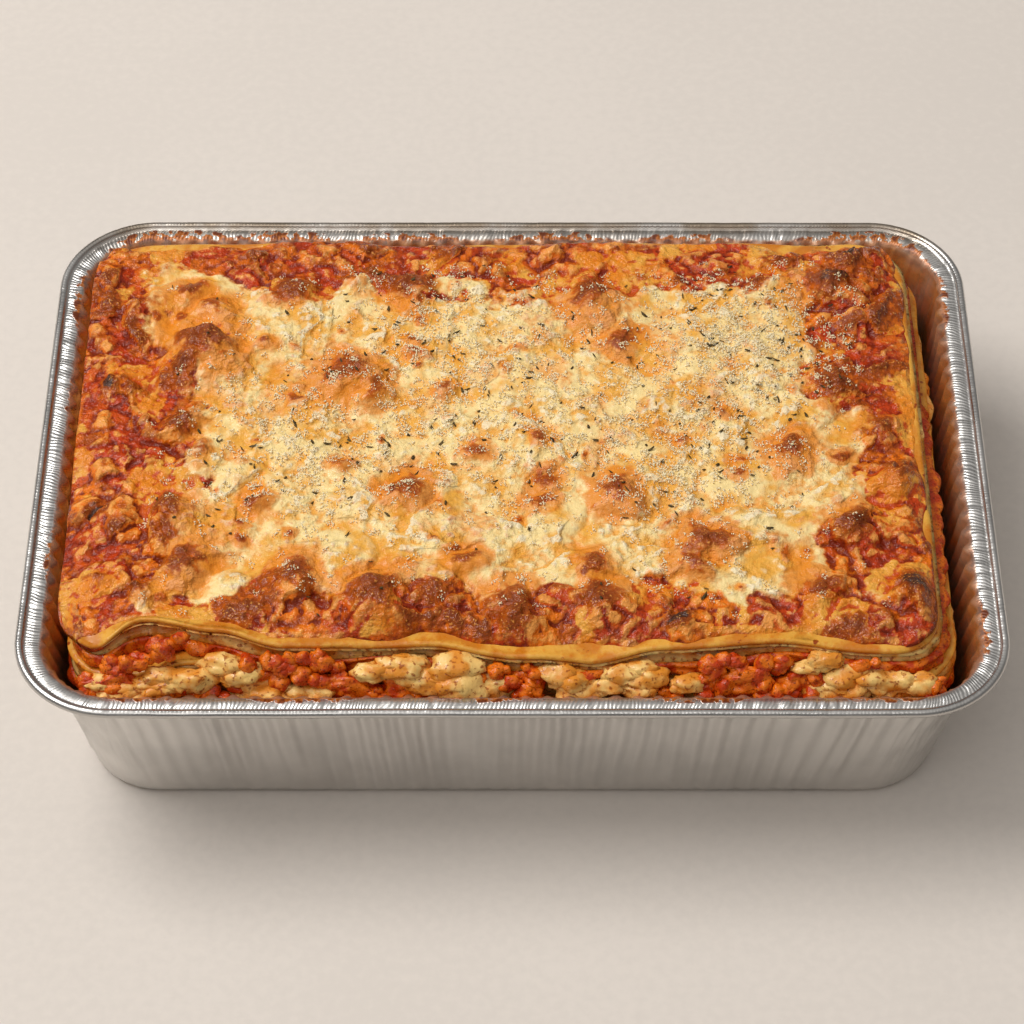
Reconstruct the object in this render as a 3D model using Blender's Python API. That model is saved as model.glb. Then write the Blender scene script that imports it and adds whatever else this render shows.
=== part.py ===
"""Baked lasagne in a rectangular foil tray, modelled for Blender 4.5.

Metres, +Z up. The origin is the middle of the tray's underside, +X runs along the tray's long side
and -Y faces the front. The tray is one thin fluted shell with a rolled rim. The food is a stack of
layers that run right through it: meat sauce, pasta sheets, white sauce and a baked cheese topping.
"""

import math

import bmesh
import bpy
from mathutils import Vector, noise

# Tray
RIM_LENGTH = 0.216
RIM_WIDTH = 0.152
RIM_CORNER = 0.0217
RIM_HEIGHT = 0.0446
RIM_BAND = 0.0062  # flat flange and rolled bead together
BEAD_RADIUS = 0.0010
BEAD_ANGLES = (-150, -90, -35, 20, 75, 135)  # degrees round the bead's section, from under to over
BEAD_FOOT = 2.2  # where the flat flange starts, in bead radii from the rim's outer edge
FLANGE_LIFT = 0.0003  # from the bead's lowest point up to the flange's underside
FLANGE_UNDER_STOP = 0.0011  # how far short of the band's inner edge the flange's underside ends
FLANGE_TOP_STOP = 0.0008
WALL_STOP = 0.0006  # how far under the flange the fluted wall ends
BASE_INSET = 0.0118  # from the rim's outer edge in to the base's edge
BASE_CORNER = 0.0173
BASE_CHAMFER = 0.0028
FOIL = 0.00040
FLUTE_DEPTH_TOP = 0.00050
FLUTE_DEPTH_FOOT = 0.00025
CORNER_CREASE_DEPTH = 0.00090
TRAY_SHARP = math.radians(25)  # edges sharper than this are shaded as creases
FOOD_SHARP = math.radians(40)
LUMP_SHARP = math.radians(60)

# Segments of the front, right, back and left sides, and of each corner
WALL_SEGMENTS = (72, 44, 72, 44, 12)
RIM_SEGMENTS = (6, 4, 6, 4, 6)
FOOD_SEGMENTS = (18, 9, 14, 9, 3)
TOPPING_SEGMENTS = (26, 16, 24, 16, 4)

# Food
GAP = 0.0006  # between neighbouring solids
SHEET = 0.0020
FOOD_CORNER = 0.012
LEAST_CORNER = 0.002
RIPPLE = 0.0011
RIPPLE_REACH = 0.013  # the layers lie flat from here inwards
STACK_EDGES = (-0.0975, 0.0975, -0.0625, 0.0650)  # left, right, front and back of the whole stack
RIPPLE_LENGTH = 0.034
RIPPLE_SHIFT = 1.7  # between one sheet's ripples and the next one's, in ripple lengths
FRONT_RISE_REACH = 0.05  # the top sheet's front waves grow to their full height over this length
SAUCE_BULGE = 0.0010
SAUCE_LUMPS = 120.0  # lumps of the sauces' edges per metre
SAUCE_BULGE_MIDDLE = 0.3
BLOCK_FOOT_INSET = 0.0011  # from the tray's inner wall in to the food's foot

# Tops of the layers over the tray's underside, lowest first
LAYER_TOPS = {
    "meat_sauce_lower": 0.0317,
    "pasta_sheet_lower": 0.0340,
    "white_sauce_lower": 0.0377,
    "pasta_sheet_middle": 0.0400,
    "meat_sauce_upper": 0.0443,
    "white_sauce_upper": 0.0466,
    "pasta_sheet_top": 0.0489,
}
TOPPING_THICKNESS = 0.0022
TOPPING_CROWN = 0.0009
TOPPING_EDGE = 0.0008  # thickness at its edge
TOPPING_GROWTH = 0.010  # from the edge in to the full thickness
TOPPING_UNEVENNESS = 0.0007
TOPPING_LUMPS = 90.0  # lumps of the topping per metre
TOPPING_RINGS = (0.0, 0.003, 0.010, 0.017, 0.024, 0.031, 0.038, 0.045, 0.052, 0.058)

# Left, right, front and back edges of each layer
LAYER_EDGES = {
    "meat_sauce_lower": (-0.0970, 0.0972, -0.0632, 0.0650),
    "pasta_sheet_lower": (-0.0968, 0.0970, -0.0636, 0.0648),
    "white_sauce_lower": (-0.0966, 0.0964, -0.0624, 0.0646),
    "pasta_sheet_middle": (-0.0972, 0.0968, -0.0634, 0.0650),
    "meat_sauce_upper": (-0.0960, 0.0946, -0.0616, 0.0642),
    "white_sauce_upper": (-0.0956, 0.0934, -0.0610, 0.0640),
    "pasta_sheet_top": (-0.0978, 0.0928, -0.0622, 0.0648),
    "cheese_topping": (-0.0962, 0.0916, -0.0600, 0.0638),
}

# The top sheet's front edge, left to right: place along X, how far it draws back, how far it rises
TOP_SHEET_FRONT = (
    (-0.098, 0.0020, -0.0020),
    (-0.091, 0.0010, -0.0006),
    (-0.079, 0.0055, 0.0044),
    (-0.064, 0.0040, 0.0022),
    (-0.049, 0.0012, 0.0000),
    (-0.019, 0.0018, 0.0004),
    (0.003, -0.0014, -0.0006),
    (0.016, -0.0016, -0.0010),
    (0.033, 0.0008, 0.0006),
    (0.059, 0.0020, 0.0010),
    (0.081, 0.0004, 0.0000),
    (0.093, -0.0008, -0.0014),
)

# Layers whose front follows that line
DRAWN_BACK = ("meat_sauce_upper", "white_sauce_upper", "pasta_sheet_top", "cheese_topping")

# Corners that the topping leaves bare: place of the corner and how far the topping keeps from it
BARE_CORNERS = ((-0.094, 0.064, 0.022), (0.090, 0.064, 0.018))
BARE_SPREAD = 0.8  # how much farther the inner rings keep away, as a share of their inset

BLISTER_SWELL = 1.25  # a bubble's height over its listed one
BLISTER_FALL = 1.6  # how steeply it falls away
BLISTER_REACH = 1.6  # in radii

# Browned bubbles of the topping: X, Y, radius, height
BLISTERS = (
    (-0.071, 0.024, 0.0105, 0.0042),
    (-0.075, 0.002, 0.0080, 0.0024),
    (-0.069, 0.038, 0.0070, 0.0020),
    (-0.051, 0.045, 0.0070, 0.0022),
    (-0.038, 0.015, 0.0100, 0.0030),
    (-0.024, 0.046, 0.0075, 0.0022),
    (0.019, 0.041, 0.0085, 0.0026),
    (0.026, 0.027, 0.0065, 0.0020),
    (0.076, 0.045, 0.0105, 0.0034),
    (0.080, 0.057, 0.0060, 0.0016),
    (0.073, 0.013, 0.0075, 0.0022),
    (0.063, -0.007, 0.0075, 0.0022),
    (0.024, -0.020, 0.0075, 0.0020),
    (-0.023, -0.020, 0.0075, 0.0020),
    (0.076, -0.031, 0.0080, 0.0026),
    (0.045, -0.034, 0.0075, 0.0020),
    (-0.076, -0.025, 0.0075, 0.0022),
    (-0.071, -0.040, 0.0080, 0.0022),
    (-0.046, -0.045, 0.0080, 0.0024),
    (-0.029, -0.052, 0.0090, 0.0028),
    (0.001, -0.055, 0.0085, 0.0026),
    (0.021, -0.051, 0.0075, 0.0022),
    (0.067, -0.047, 0.0070, 0.0020),
    (0.087, -0.048, 0.0080, 0.0032),
    (0.085, -0.008, 0.0085, 0.0024),
)

# Lumps that hang between the layers' front face and the tray wall: X, Z, half width, half height
MEAT_LUMPS = (
    (-0.085, 0.0408, 0.0056, 0.0038),
    (-0.070, 0.0400, 0.0048, 0.0036),
    (-0.036, 0.0398, 0.0068, 0.0042),
    (-0.022, 0.0402, 0.0052, 0.0040),
    (0.050, 0.0398, 0.0066, 0.0044),
    (0.065, 0.0402, 0.0058, 0.0040),
)
WHITE_LUMPS = (
    (-0.056, 0.0396, 0.0056, 0.0036),
    (-0.006, 0.0400, 0.0058, 0.0038),
    (0.084, 0.0400, 0.0052, 0.0036),
)
LUMP_Y = -0.06640
LUMP_HALF_DEPTH = 0.00165
LUMP_KNOBS = 0.22  # height of a lump's knobs, as a share of its radius
LUMP_KNOB_PITCH = 1.6
LUMP_VARIETY = 900.0  # makes lumps at different places unlike

COLLECTION = "lasagne_in_foil_tray"
UP = Vector((0.0, 0.0, 1.0))


# ---------------------------------------------------------------- helpers

def clear_scene():
    for obj in list(bpy.data.objects):
        bpy.data.objects.remove(obj)


def finish(name, colour, roughness, metallic=0.0):
    material = bpy.data.materials.new(name)
    material.use_nodes = True
    shader = material.node_tree.nodes["Principled BSDF"]
    shader.inputs["Base Color"].default_value = (*colour, 1.0)
    shader.inputs["Roughness"].default_value = roughness
    shader.inputs["Metallic"].default_value = metallic
    material.diffuse_color = (*colour, 1.0)
    return material


def smooth_between(points, x):
    """The other values of a list of stations at x, eased from one station to the next."""
    if x <= points[0][0]:
        return points[0][1:]
    for left, right in zip(points, points[1:]):
        if x <= right[0]:
            share = (x - left[0]) / (right[0] - left[0])
            ease = share * share * (3 - 2 * share)
            return tuple(a + (b - a) * ease for a, b in zip(left[1:], right[1:]))
    return points[-1][1:]


def rounded_ring(half_length, half_width, corner, segments, centre=(0.0, 0.0)):
    """(place, outward direction) pairs anticlockwise round a rounded rectangle in the XY plane.

    segments holds the segments of the front, right, back and left sides and of each corner.
    """
    ring = []
    for side in range(4):
        turn = side * math.pi / 2 - math.pi / 2
        out = Vector((math.cos(turn), math.sin(turn)))
        along = Vector((-out.y, out.x))
        reach, run = (half_width, half_length) if side % 2 == 0 else (half_length, half_width)
        for step in range(segments[side]):
            share = 2 * step / segments[side] - 1
            ring.append((out * reach + along * (run - corner) * share, out))
        pivot = out * (reach - corner) + along * (run - corner)
        for step in range(segments[4]):
            angle = turn + step / segments[4] * math.pi / 2
            away = Vector((math.cos(angle), math.sin(angle)))
            ring.append((pivot + away * corner, away))
    middle = Vector(centre)
    return [(place + middle, out) for place, out in ring]


def side_starts(segments):
    """The index of each segment group's first point: side, corner, side, corner and so on."""
    starts = [0]
    for side in range(4):
        starts.append(starts[-1] + segments[side])
        starts.append(starts[-1] + segments[4])
    return starts


def add_ring(bm, ring, height):
    """Adds a ring's points to bm at a height, which is a number or a function of a place."""
    level = height if callable(height) else lambda _place: height
    return [bm.verts.new((place.x, place.y, level(place))) for place, _out in ring]


def bridge(bm, lower, upper):
    """Quads between two rings of equal length; they face out when upper is the later ring."""
    count = len(lower)
    for i in range(count):
        j = (i + 1) % count
        bm.faces.new((lower[i], lower[j], upper[j], upper[i]))


def bridge_unlike(bm, coarse, fine, coarse_segments, fine_segments, fine_later):
    """Triangles between a ring with few points and a ring with more, side by side."""

    def triangle(a, b, c):
        bm.faces.new((a, b, c) if fine_later else (a, c, b))

    coarse_starts = side_starts(coarse_segments)
    fine_starts = side_starts(fine_segments)
    for group in range(8):
        coarse_count = coarse_starts[group + 1] - coarse_starts[group]
        fine_count = fine_starts[group + 1] - fine_starts[group]
        ratio = fine_count // coarse_count
        for i in range(coarse_count):
            a = coarse[coarse_starts[group] + i]
            b = coarse[(coarse_starts[group] + i + 1) % len(coarse)]
            first = fine_starts[group] + i * ratio
            middle = first + ratio // 2
            points = [fine[(first + k) % len(fine)] for k in range(ratio + 1)]
            turn_at = middle - first
            for k in range(ratio):
                triangle(a if k < turn_at else b, points[k + 1], points[k])
            triangle(a, b, points[turn_at])


def make_object(name, bm, material, sharp=FOOD_SHARP):
    bmesh.ops.recalc_face_normals(bm, faces=bm.faces)
    mesh = bpy.data.meshes.new(name)
    bm.to_mesh(mesh)
    bm.free()
    mesh.materials.append(material)
    mesh.shade_smooth()
    mesh.set_sharp_from_angle(angle=sharp)
    obj = bpy.data.objects.new(name, mesh)
    parts.objects.link(obj)
    obj.parent = root
    return obj


# ---------------------------------------------------------------- tray

def wall_half(height, inset=0.0):
    """Half length, half width and corner radius of the wall's outer face at a height."""
    share = (height - BASE_CHAMFER) / (RIM_HEIGHT - BASE_CHAMFER)
    foot = RIM_LENGTH / 2 - BASE_INSET
    top = RIM_LENGTH / 2 - RIM_BAND + FOIL
    half_length = foot + (top - foot) * share - inset
    half_width = half_length - (RIM_LENGTH - RIM_WIDTH) / 2
    corner = BASE_CORNER + (RIM_CORNER - RIM_BAND + FOIL - BASE_CORNER) * share - inset
    return half_length, half_width, corner


def fluted_ring(height, inset, depth, crease):
    """The wall at a height, its points by turns on the crests and in the valleys of the flutes."""
    ring = rounded_ring(*wall_half(height, inset), WALL_SEGMENTS)
    starts = side_starts(WALL_SEGMENTS)
    points = []
    for i, (place, out) in enumerate(ring):
        group = sum(i >= start for start in starts[1:])
        swing = (crease if group % 2 else depth) * (0.5 if i % 2 else -0.5)
        points.append((place + out * swing, out))
    return points


def rim_ring(inset):
    """A plain ring at a distance in from the rim's outer edge."""
    return rounded_ring(
        RIM_LENGTH / 2 - inset, RIM_WIDTH / 2 - inset, RIM_CORNER - inset, RIM_SEGMENTS
    )


def base_ring(inset):
    half_length, half_width, corner = wall_half(BASE_CHAMFER, inset)
    return rounded_ring(half_length, half_width, corner, RIM_SEGMENTS)


def foil_tray(material):
    """A closed loft: underside, outer wall, flange, rolled bead, inner wall and floor.

    It isn't a Solidify shell, because the rolled bead is much thicker than the foil.
    """
    bm = bmesh.new()
    flange_under = RIM_HEIGHT - 2 * BEAD_RADIUS + FLANGE_LIFT
    flange_top = flange_under + FOIL
    wall_top = flange_under - WALL_STOP

    underside = add_ring(bm, base_ring(BASE_CHAMFER), 0.0)
    outer_foot = add_ring(
        bm, fluted_ring(BASE_CHAMFER, 0.0, FLUTE_DEPTH_FOOT, CORNER_CREASE_DEPTH / 2), BASE_CHAMFER
    )
    outer_top = add_ring(
        bm, fluted_ring(wall_top, 0.0, FLUTE_DEPTH_TOP, CORNER_CREASE_DEPTH), wall_top
    )
    rings = [
        add_ring(bm, rim_ring(RIM_BAND - FLANGE_UNDER_STOP), flange_under),
        add_ring(bm, rim_ring(BEAD_FOOT * BEAD_RADIUS), flange_under),
    ]
    for degrees in BEAD_ANGLES:
        angle = math.radians(degrees)
        inset = BEAD_RADIUS * (1 - math.cos(angle))
        height = RIM_HEIGHT - BEAD_RADIUS + BEAD_RADIUS * math.sin(angle)
        rings.append(add_ring(bm, rim_ring(inset), height))
    rings.append(add_ring(bm, rim_ring(BEAD_FOOT * BEAD_RADIUS), flange_top))
    rings.append(add_ring(bm, rim_ring(RIM_BAND - FLANGE_TOP_STOP), flange_top))
    inner_top = add_ring(
        bm, fluted_ring(wall_top, FOIL, FLUTE_DEPTH_TOP, CORNER_CREASE_DEPTH), wall_top
    )
    inner_foot = add_ring(
        bm, fluted_ring(BASE_CHAMFER, FOIL, FLUTE_DEPTH_FOOT, CORNER_CREASE_DEPTH / 2), BASE_CHAMFER
    )
    floor = add_ring(bm, base_ring(BASE_CHAMFER + FOIL), FOIL)

    bm.faces.new(underside)
    bridge_unlike(bm, underside, outer_foot, RIM_SEGMENTS, WALL_SEGMENTS, True)
    bridge(bm, outer_foot, outer_top)
    bridge_unlike(bm, rings[0], outer_top, RIM_SEGMENTS, WALL_SEGMENTS, False)
    for lower, upper in zip(rings, rings[1:]):
        bridge(bm, lower, upper)
    bridge_unlike(bm, rings[-1], inner_top, RIM_SEGMENTS, WALL_SEGMENTS, True)
    bridge(bm, inner_top, inner_foot)
    bridge_unlike(bm, floor, inner_foot, RIM_SEGMENTS, WALL_SEGMENTS, False)
    bm.faces.new(floor)
    bmesh.ops.triangulate(bm, faces=[face for face in bm.faces if len(face.verts) > 4])
    return make_object("foil_tray", bm, material, TRAY_SHARP)


# ---------------------------------------------------------------- food

def box_ring(edges, inset, segments=FOOD_SEGMENTS):
    """The rounded outline between a left, right, front and back edge, at a distance in from it."""
    left, right, front, back = edges
    return rounded_ring(
        (right - left) / 2 - inset,
        (back - front) / 2 - inset,
        max(FOOD_CORNER - inset, LEAST_CORNER),
        segments,
        ((left + right) / 2, (front + back) / 2),
    )


def edge_share(place):
    """1 at the edge of the stack, falling to 0 where the layers lie flat."""
    left, right, front, back = STACK_EDGES
    inside = min(place.x - left, right - place.x, place.y - front, back - place.y)
    return min(1.0, max(0.0, 1 - inside / RIPPLE_REACH))


def food_ring(name, inset):
    """A layer's outline at a distance in from its edge, with the top sheet's drawn-back front."""
    segments = TOPPING_SEGMENTS if name == "cheese_topping" else FOOD_SEGMENTS
    ring = box_ring(LAYER_EDGES[name], inset, segments)
    if name not in DRAWN_BACK:
        return ring
    fade = max(0.0, 1 - inset / RIPPLE_REACH)
    moved = []
    for place, out in ring:
        facing_front = max(0.0, -out.y)
        back_step, _rise = smooth_between(TOP_SHEET_FRONT, place.x)
        place = place + Vector((0.0, back_step * facing_front * fade))
        if name == "cheese_topping":
            for x, y, bare in BARE_CORNERS:
                keep = bare + BARE_SPREAD * inset
                away = place - Vector((x, y))
                if away.length < keep:
                    place = Vector((x, y)) + away.normalized() * keep
        moved.append((place, out))
    return moved


def ripple(sheet):
    """The rise of a pasta sheet near the edge of the stack, as a function of the place."""

    def rise(place):
        shift = RIPPLE_SHIFT * list(LAYER_TOPS).index(sheet)
        wave = noise.noise(Vector((place.x / RIPPLE_LENGTH, place.y / RIPPLE_LENGTH, shift)))
        height = 2 * RIPPLE * wave
        if place.y < 0 and sheet == "pasta_sheet_top":
            _back_step, lift = smooth_between(TOP_SHEET_FRONT, place.x)
            height += lift * min(1.0, -place.y / FRONT_RISE_REACH)
        return height * edge_share(place)

    return rise


def flat(_place):
    return 0.0


def layer(name, bottom, top, under, over, material):
    """A slab between two heights, its rippled edge faded into a flat middle.

    under and over give the ripples of its lower and upper face.
    """
    bm = bmesh.new()
    edge = food_ring(name, 0.0)
    middle = box_ring(STACK_EDGES, RIPPLE_REACH)
    low_edge = add_ring(bm, edge, lambda place: bottom + under(place))
    high_edge = add_ring(bm, edge, lambda place: top + over(place))
    low_middle = add_ring(bm, middle, bottom)
    high_middle = add_ring(bm, middle, top)
    if "sauce" in name and name != "meat_sauce_lower":
        belly = []
        for place, out in edge:
            swell = noise.noise(Vector((place.x, place.y, top)) * SAUCE_LUMPS)
            belly.append((place + out * SAUCE_BULGE * (swell - SAUCE_BULGE_MIDDLE), out))
        half_way = (bottom + top) / 2
        side = add_ring(bm, belly, lambda place: half_way + (under(place) + over(place)) / 2)
        bridge(bm, low_edge, side)
        bridge(bm, side, high_edge)
    else:
        bridge(bm, low_edge, high_edge)
    bridge(bm, low_middle, low_edge)
    bridge(bm, high_edge, high_middle)
    bm.faces.new(low_middle)
    bm.faces.new(high_middle)
    bmesh.ops.triangulate(bm, faces=bm.faces)
    return make_object(name, bm, material)


def lowest_layer(name, over, material):
    """The block that fills the tray from its floor up to the lowest sheet that shows."""
    top = LAYER_TOPS[name]
    bottom = FOIL + GAP
    bm = bmesh.new()
    half_length, half_width, corner = wall_half(BASE_CHAMFER, FOIL + BLOCK_FOOT_INSET)
    foot = rounded_ring(half_length, half_width, corner, FOOD_SEGMENTS)
    sole = rounded_ring(
        half_length - BASE_CHAMFER, half_width - BASE_CHAMFER, corner - BASE_CHAMFER, FOOD_SEGMENTS
    )
    edge = food_ring(name, 0.0)
    rings = [
        add_ring(bm, sole, bottom),
        add_ring(bm, foot, BASE_CHAMFER + GAP),
        add_ring(bm, edge, lambda place: top + over(place)),
        add_ring(bm, box_ring(STACK_EDGES, RIPPLE_REACH), top),
    ]
    for lower, upper in zip(rings, rings[1:]):
        bridge(bm, lower, upper)
    bm.faces.new(rings[0])
    bm.faces.new(rings[-1])
    bmesh.ops.triangulate(bm, faces=bm.faces)
    return make_object(name, bm, material)


def topping_height(place, inset, bottom):
    """The topping's upper face: a low crown, uneven cheese and the browned bubbles."""
    grow = min(1.0, inset / TOPPING_GROWTH)
    height = bottom + TOPPING_EDGE + (TOPPING_THICKNESS - TOPPING_EDGE + TOPPING_CROWN) * grow ** 0.5
    height += TOPPING_UNEVENNESS * noise.noise(Vector((place.x, place.y, 0.0)) * TOPPING_LUMPS) * grow
    for x, y, radius, rise in BLISTERS:
        away = math.hypot(place.x - x, place.y - y) / radius
        if away < BLISTER_REACH:
            height += BLISTER_SWELL * rise * math.exp(-BLISTER_FALL * away * away)
    return height


def cheese_topping(over_sheet, material):
    name = "cheese_topping"
    bottom = LAYER_TOPS["pasta_sheet_top"] + GAP
    bm = bmesh.new()
    edge = food_ring(name, 0.0)
    low_edge = add_ring(bm, edge, lambda place: bottom + over_sheet(place))
    low_middle = add_ring(bm, box_ring(STACK_EDGES, RIPPLE_REACH, TOPPING_SEGMENTS), bottom)
    previous = low_edge
    for inset in TOPPING_RINGS:
        ring = add_ring(
            bm,
            food_ring(name, inset),
            lambda place: topping_height(place, inset, bottom) + over_sheet(place),
        )
        bridge(bm, previous, ring)
        previous = ring
    bm.faces.new(previous)
    bridge(bm, low_middle, low_edge)
    bm.faces.new(low_middle)
    bmesh.ops.triangulate(bm, faces=bm.faces)
    return make_object(name, bm, material)


def lump(name, x, z, half_width, half_height, material):
    """A knobbly lump of filling, flattened between the food's face and the wall."""
    bm = bmesh.new()
    bmesh.ops.create_icosphere(bm, subdivisions=2, radius=1.0)
    for vertex in bm.verts:
        knob = 1 + LUMP_KNOBS * noise.noise(vertex.co * LUMP_KNOB_PITCH + UP * x * LUMP_VARIETY)
        vertex.co = Vector(
            (
                x + vertex.co.x * half_width * knob,
                LUMP_Y + vertex.co.y * LUMP_HALF_DEPTH,
                z + vertex.co.z * half_height * knob,
            )
        )
    return make_object(name, bm, material, LUMP_SHARP)


# ---------------------------------------------------------------- assembly

clear_scene()
parts = bpy.data.collections.new(COLLECTION)
bpy.context.scene.collection.children.link(parts)
root = bpy.data.objects.new("root", None)
parts.objects.link(root)

foil = finish("foil", (0.56, 0.53, 0.49), 0.36, 1.0)
meat = finish("meat_sauce", (0.26, 0.055, 0.018), 0.42)
pasta = finish("pasta", (0.72, 0.36, 0.10), 0.45)
white = finish("white_sauce", (0.78, 0.55, 0.30), 0.40)
cheese = finish("baked_cheese", (0.76, 0.45, 0.17), 0.42)

foil_tray(foil)

ripples = {name: ripple(name) for name in LAYER_TOPS if name.startswith("pasta")}
names = list(LAYER_TOPS)
lowest_layer(names[0], ripples["pasta_sheet_lower"], meat)
for below, name, above in zip(names, names[1:], names[2:] + [None]):
    if name.startswith("pasta"):
        under = over = ripples[name]
        substance = pasta
    else:
        substance = white if name.startswith("white") else meat
        under = ripples.get(below, flat)
        over = ripples.get(above, flat)
    layer(name, LAYER_TOPS[below] + GAP, LAYER_TOPS[name], under, over, substance)
cheese_topping(ripples["pasta_sheet_top"], cheese)

for number, (x, z, half_width, half_height) in enumerate(MEAT_LUMPS, 1):
    lump(f"meat_lump_{number}", x, z, half_width, half_height, meat)
for number, (x, z, half_width, half_height) in enumerate(WHITE_LUMPS, 1):
    lump(f"white_sauce_lump_{number}", x, z, half_width, half_height, white)
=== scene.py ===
"""Looks of a baked lasagne in a foil tray, laid out as a Blender 4.5 add-on and run as a script.

Every piece is made by an operator of its own, from sizes and colours held in property groups.
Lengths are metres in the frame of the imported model: X along the tray, -Y to the front, +Z up.
"""

import itertools
import math
import random

import bmesh
import bpy
import numpy as np
from bpy.props import FloatProperty, FloatVectorProperty, IntProperty, PointerProperty
from mathutils import Euler, Matrix, Vector


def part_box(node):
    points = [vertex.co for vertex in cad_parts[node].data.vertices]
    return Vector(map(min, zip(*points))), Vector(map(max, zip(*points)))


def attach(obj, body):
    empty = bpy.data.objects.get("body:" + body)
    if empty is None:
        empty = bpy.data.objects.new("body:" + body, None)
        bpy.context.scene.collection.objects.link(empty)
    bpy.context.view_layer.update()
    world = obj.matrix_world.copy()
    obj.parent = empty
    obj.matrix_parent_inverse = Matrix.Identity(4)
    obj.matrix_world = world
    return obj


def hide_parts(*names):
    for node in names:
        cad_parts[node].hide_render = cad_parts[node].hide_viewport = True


bl_info = {
    "name": "Lasagne in a Foil Tray",
    "version": (1, 0, 0),
    "blender": (4, 5, 0),
    "location": "3D View > Sidebar > Lasagne",
    "description": "Builds a baked lasagne and its foil tray round a packed model",
    "category": "Object",
}

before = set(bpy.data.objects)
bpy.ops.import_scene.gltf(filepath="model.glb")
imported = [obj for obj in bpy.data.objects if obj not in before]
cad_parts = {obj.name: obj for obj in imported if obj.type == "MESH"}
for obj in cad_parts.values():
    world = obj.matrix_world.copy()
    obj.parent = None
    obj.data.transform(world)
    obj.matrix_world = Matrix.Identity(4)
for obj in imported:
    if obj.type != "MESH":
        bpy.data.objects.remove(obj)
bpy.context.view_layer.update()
TRAY_LOW, TRAY_HIGH = (Vector(corner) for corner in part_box("foil_tray"))
BODY = "root"
MM = 0.001
SHEETS = ("pasta_sheet_lower", "pasta_sheet_middle", "pasta_sheet_top")


def middle_height(node):
    low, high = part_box(node)
    return (low[2] + high[2]) / 2


def plan_edges(node):
    """Left, right, front and back edge of a node."""
    low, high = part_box(node)
    return low[0], high[0], low[1], high[1]


# ------------------------------------------------------------------ settings

def length(name, text, default):
    return FloatProperty(name=name, description=text, default=default, unit="LENGTH", precision=5)


def colour(name, text, default):
    return FloatVectorProperty(name=name, description=text, default=default, subtype="COLOR", min=0, max=1)


class LASAGNE_PG_tray(bpy.types.PropertyGroup):
    band: length("Rim band", "Width of the flat flange and the rolled bead together", 6.2 * MM)
    bead: length("Bead radius", "Radius of the rolled bead", 1.0 * MM)
    foil: length("Foil", "Thickness of the wall", 0.4 * MM)
    corner: length("Rim corner", "Radius of the rim's corners", 21.7 * MM)
    base_corner: length("Base corner", "Radius of the base's corners", 17.3 * MM)
    base_inset: length("Base inset", "From the rim's outer edge in to the base", 11.8 * MM)
    base_round: length("Base rounding", "Radius between the base and the wall", 2.8 * MM)
    flute_depth: length("Flute depth", "Depth of the wall's flutes at the top", 1.9 * MM)
    crease_depth: length("Crease depth", "Depth of the folds in the corners", 1.1 * MM)
    dent_depth: length("Dents", "Depth of the soft dents", 0.22 * MM)
    long_flutes: IntProperty(name="Long flutes", description="Flutes on each long side", default=36)
    short_flutes: IntProperty(name="Short flutes", description="Flutes on each short side", default=22)


class LASAGNE_PG_food(bpy.types.PropertyGroup):
    sheet: length("Sheet", "Thickness of a pasta sheet", 1.5 * MM)
    reach: length("Edge reach", "How far in from the edge the sheets ripple", 15 * MM)
    ripple: length("Ripple", "Rise and fall of the sheets at their edge", 1.5 * MM)
    corner: length("Food corner", "Radius of the food's corners", 12 * MM)
    cheese: length("Cheese", "Thickness of the melted cheese in the middle", 2.2 * MM)
    grain: length("Mesh step", "Distance between the points of the topping", 0.51 * MM)


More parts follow.
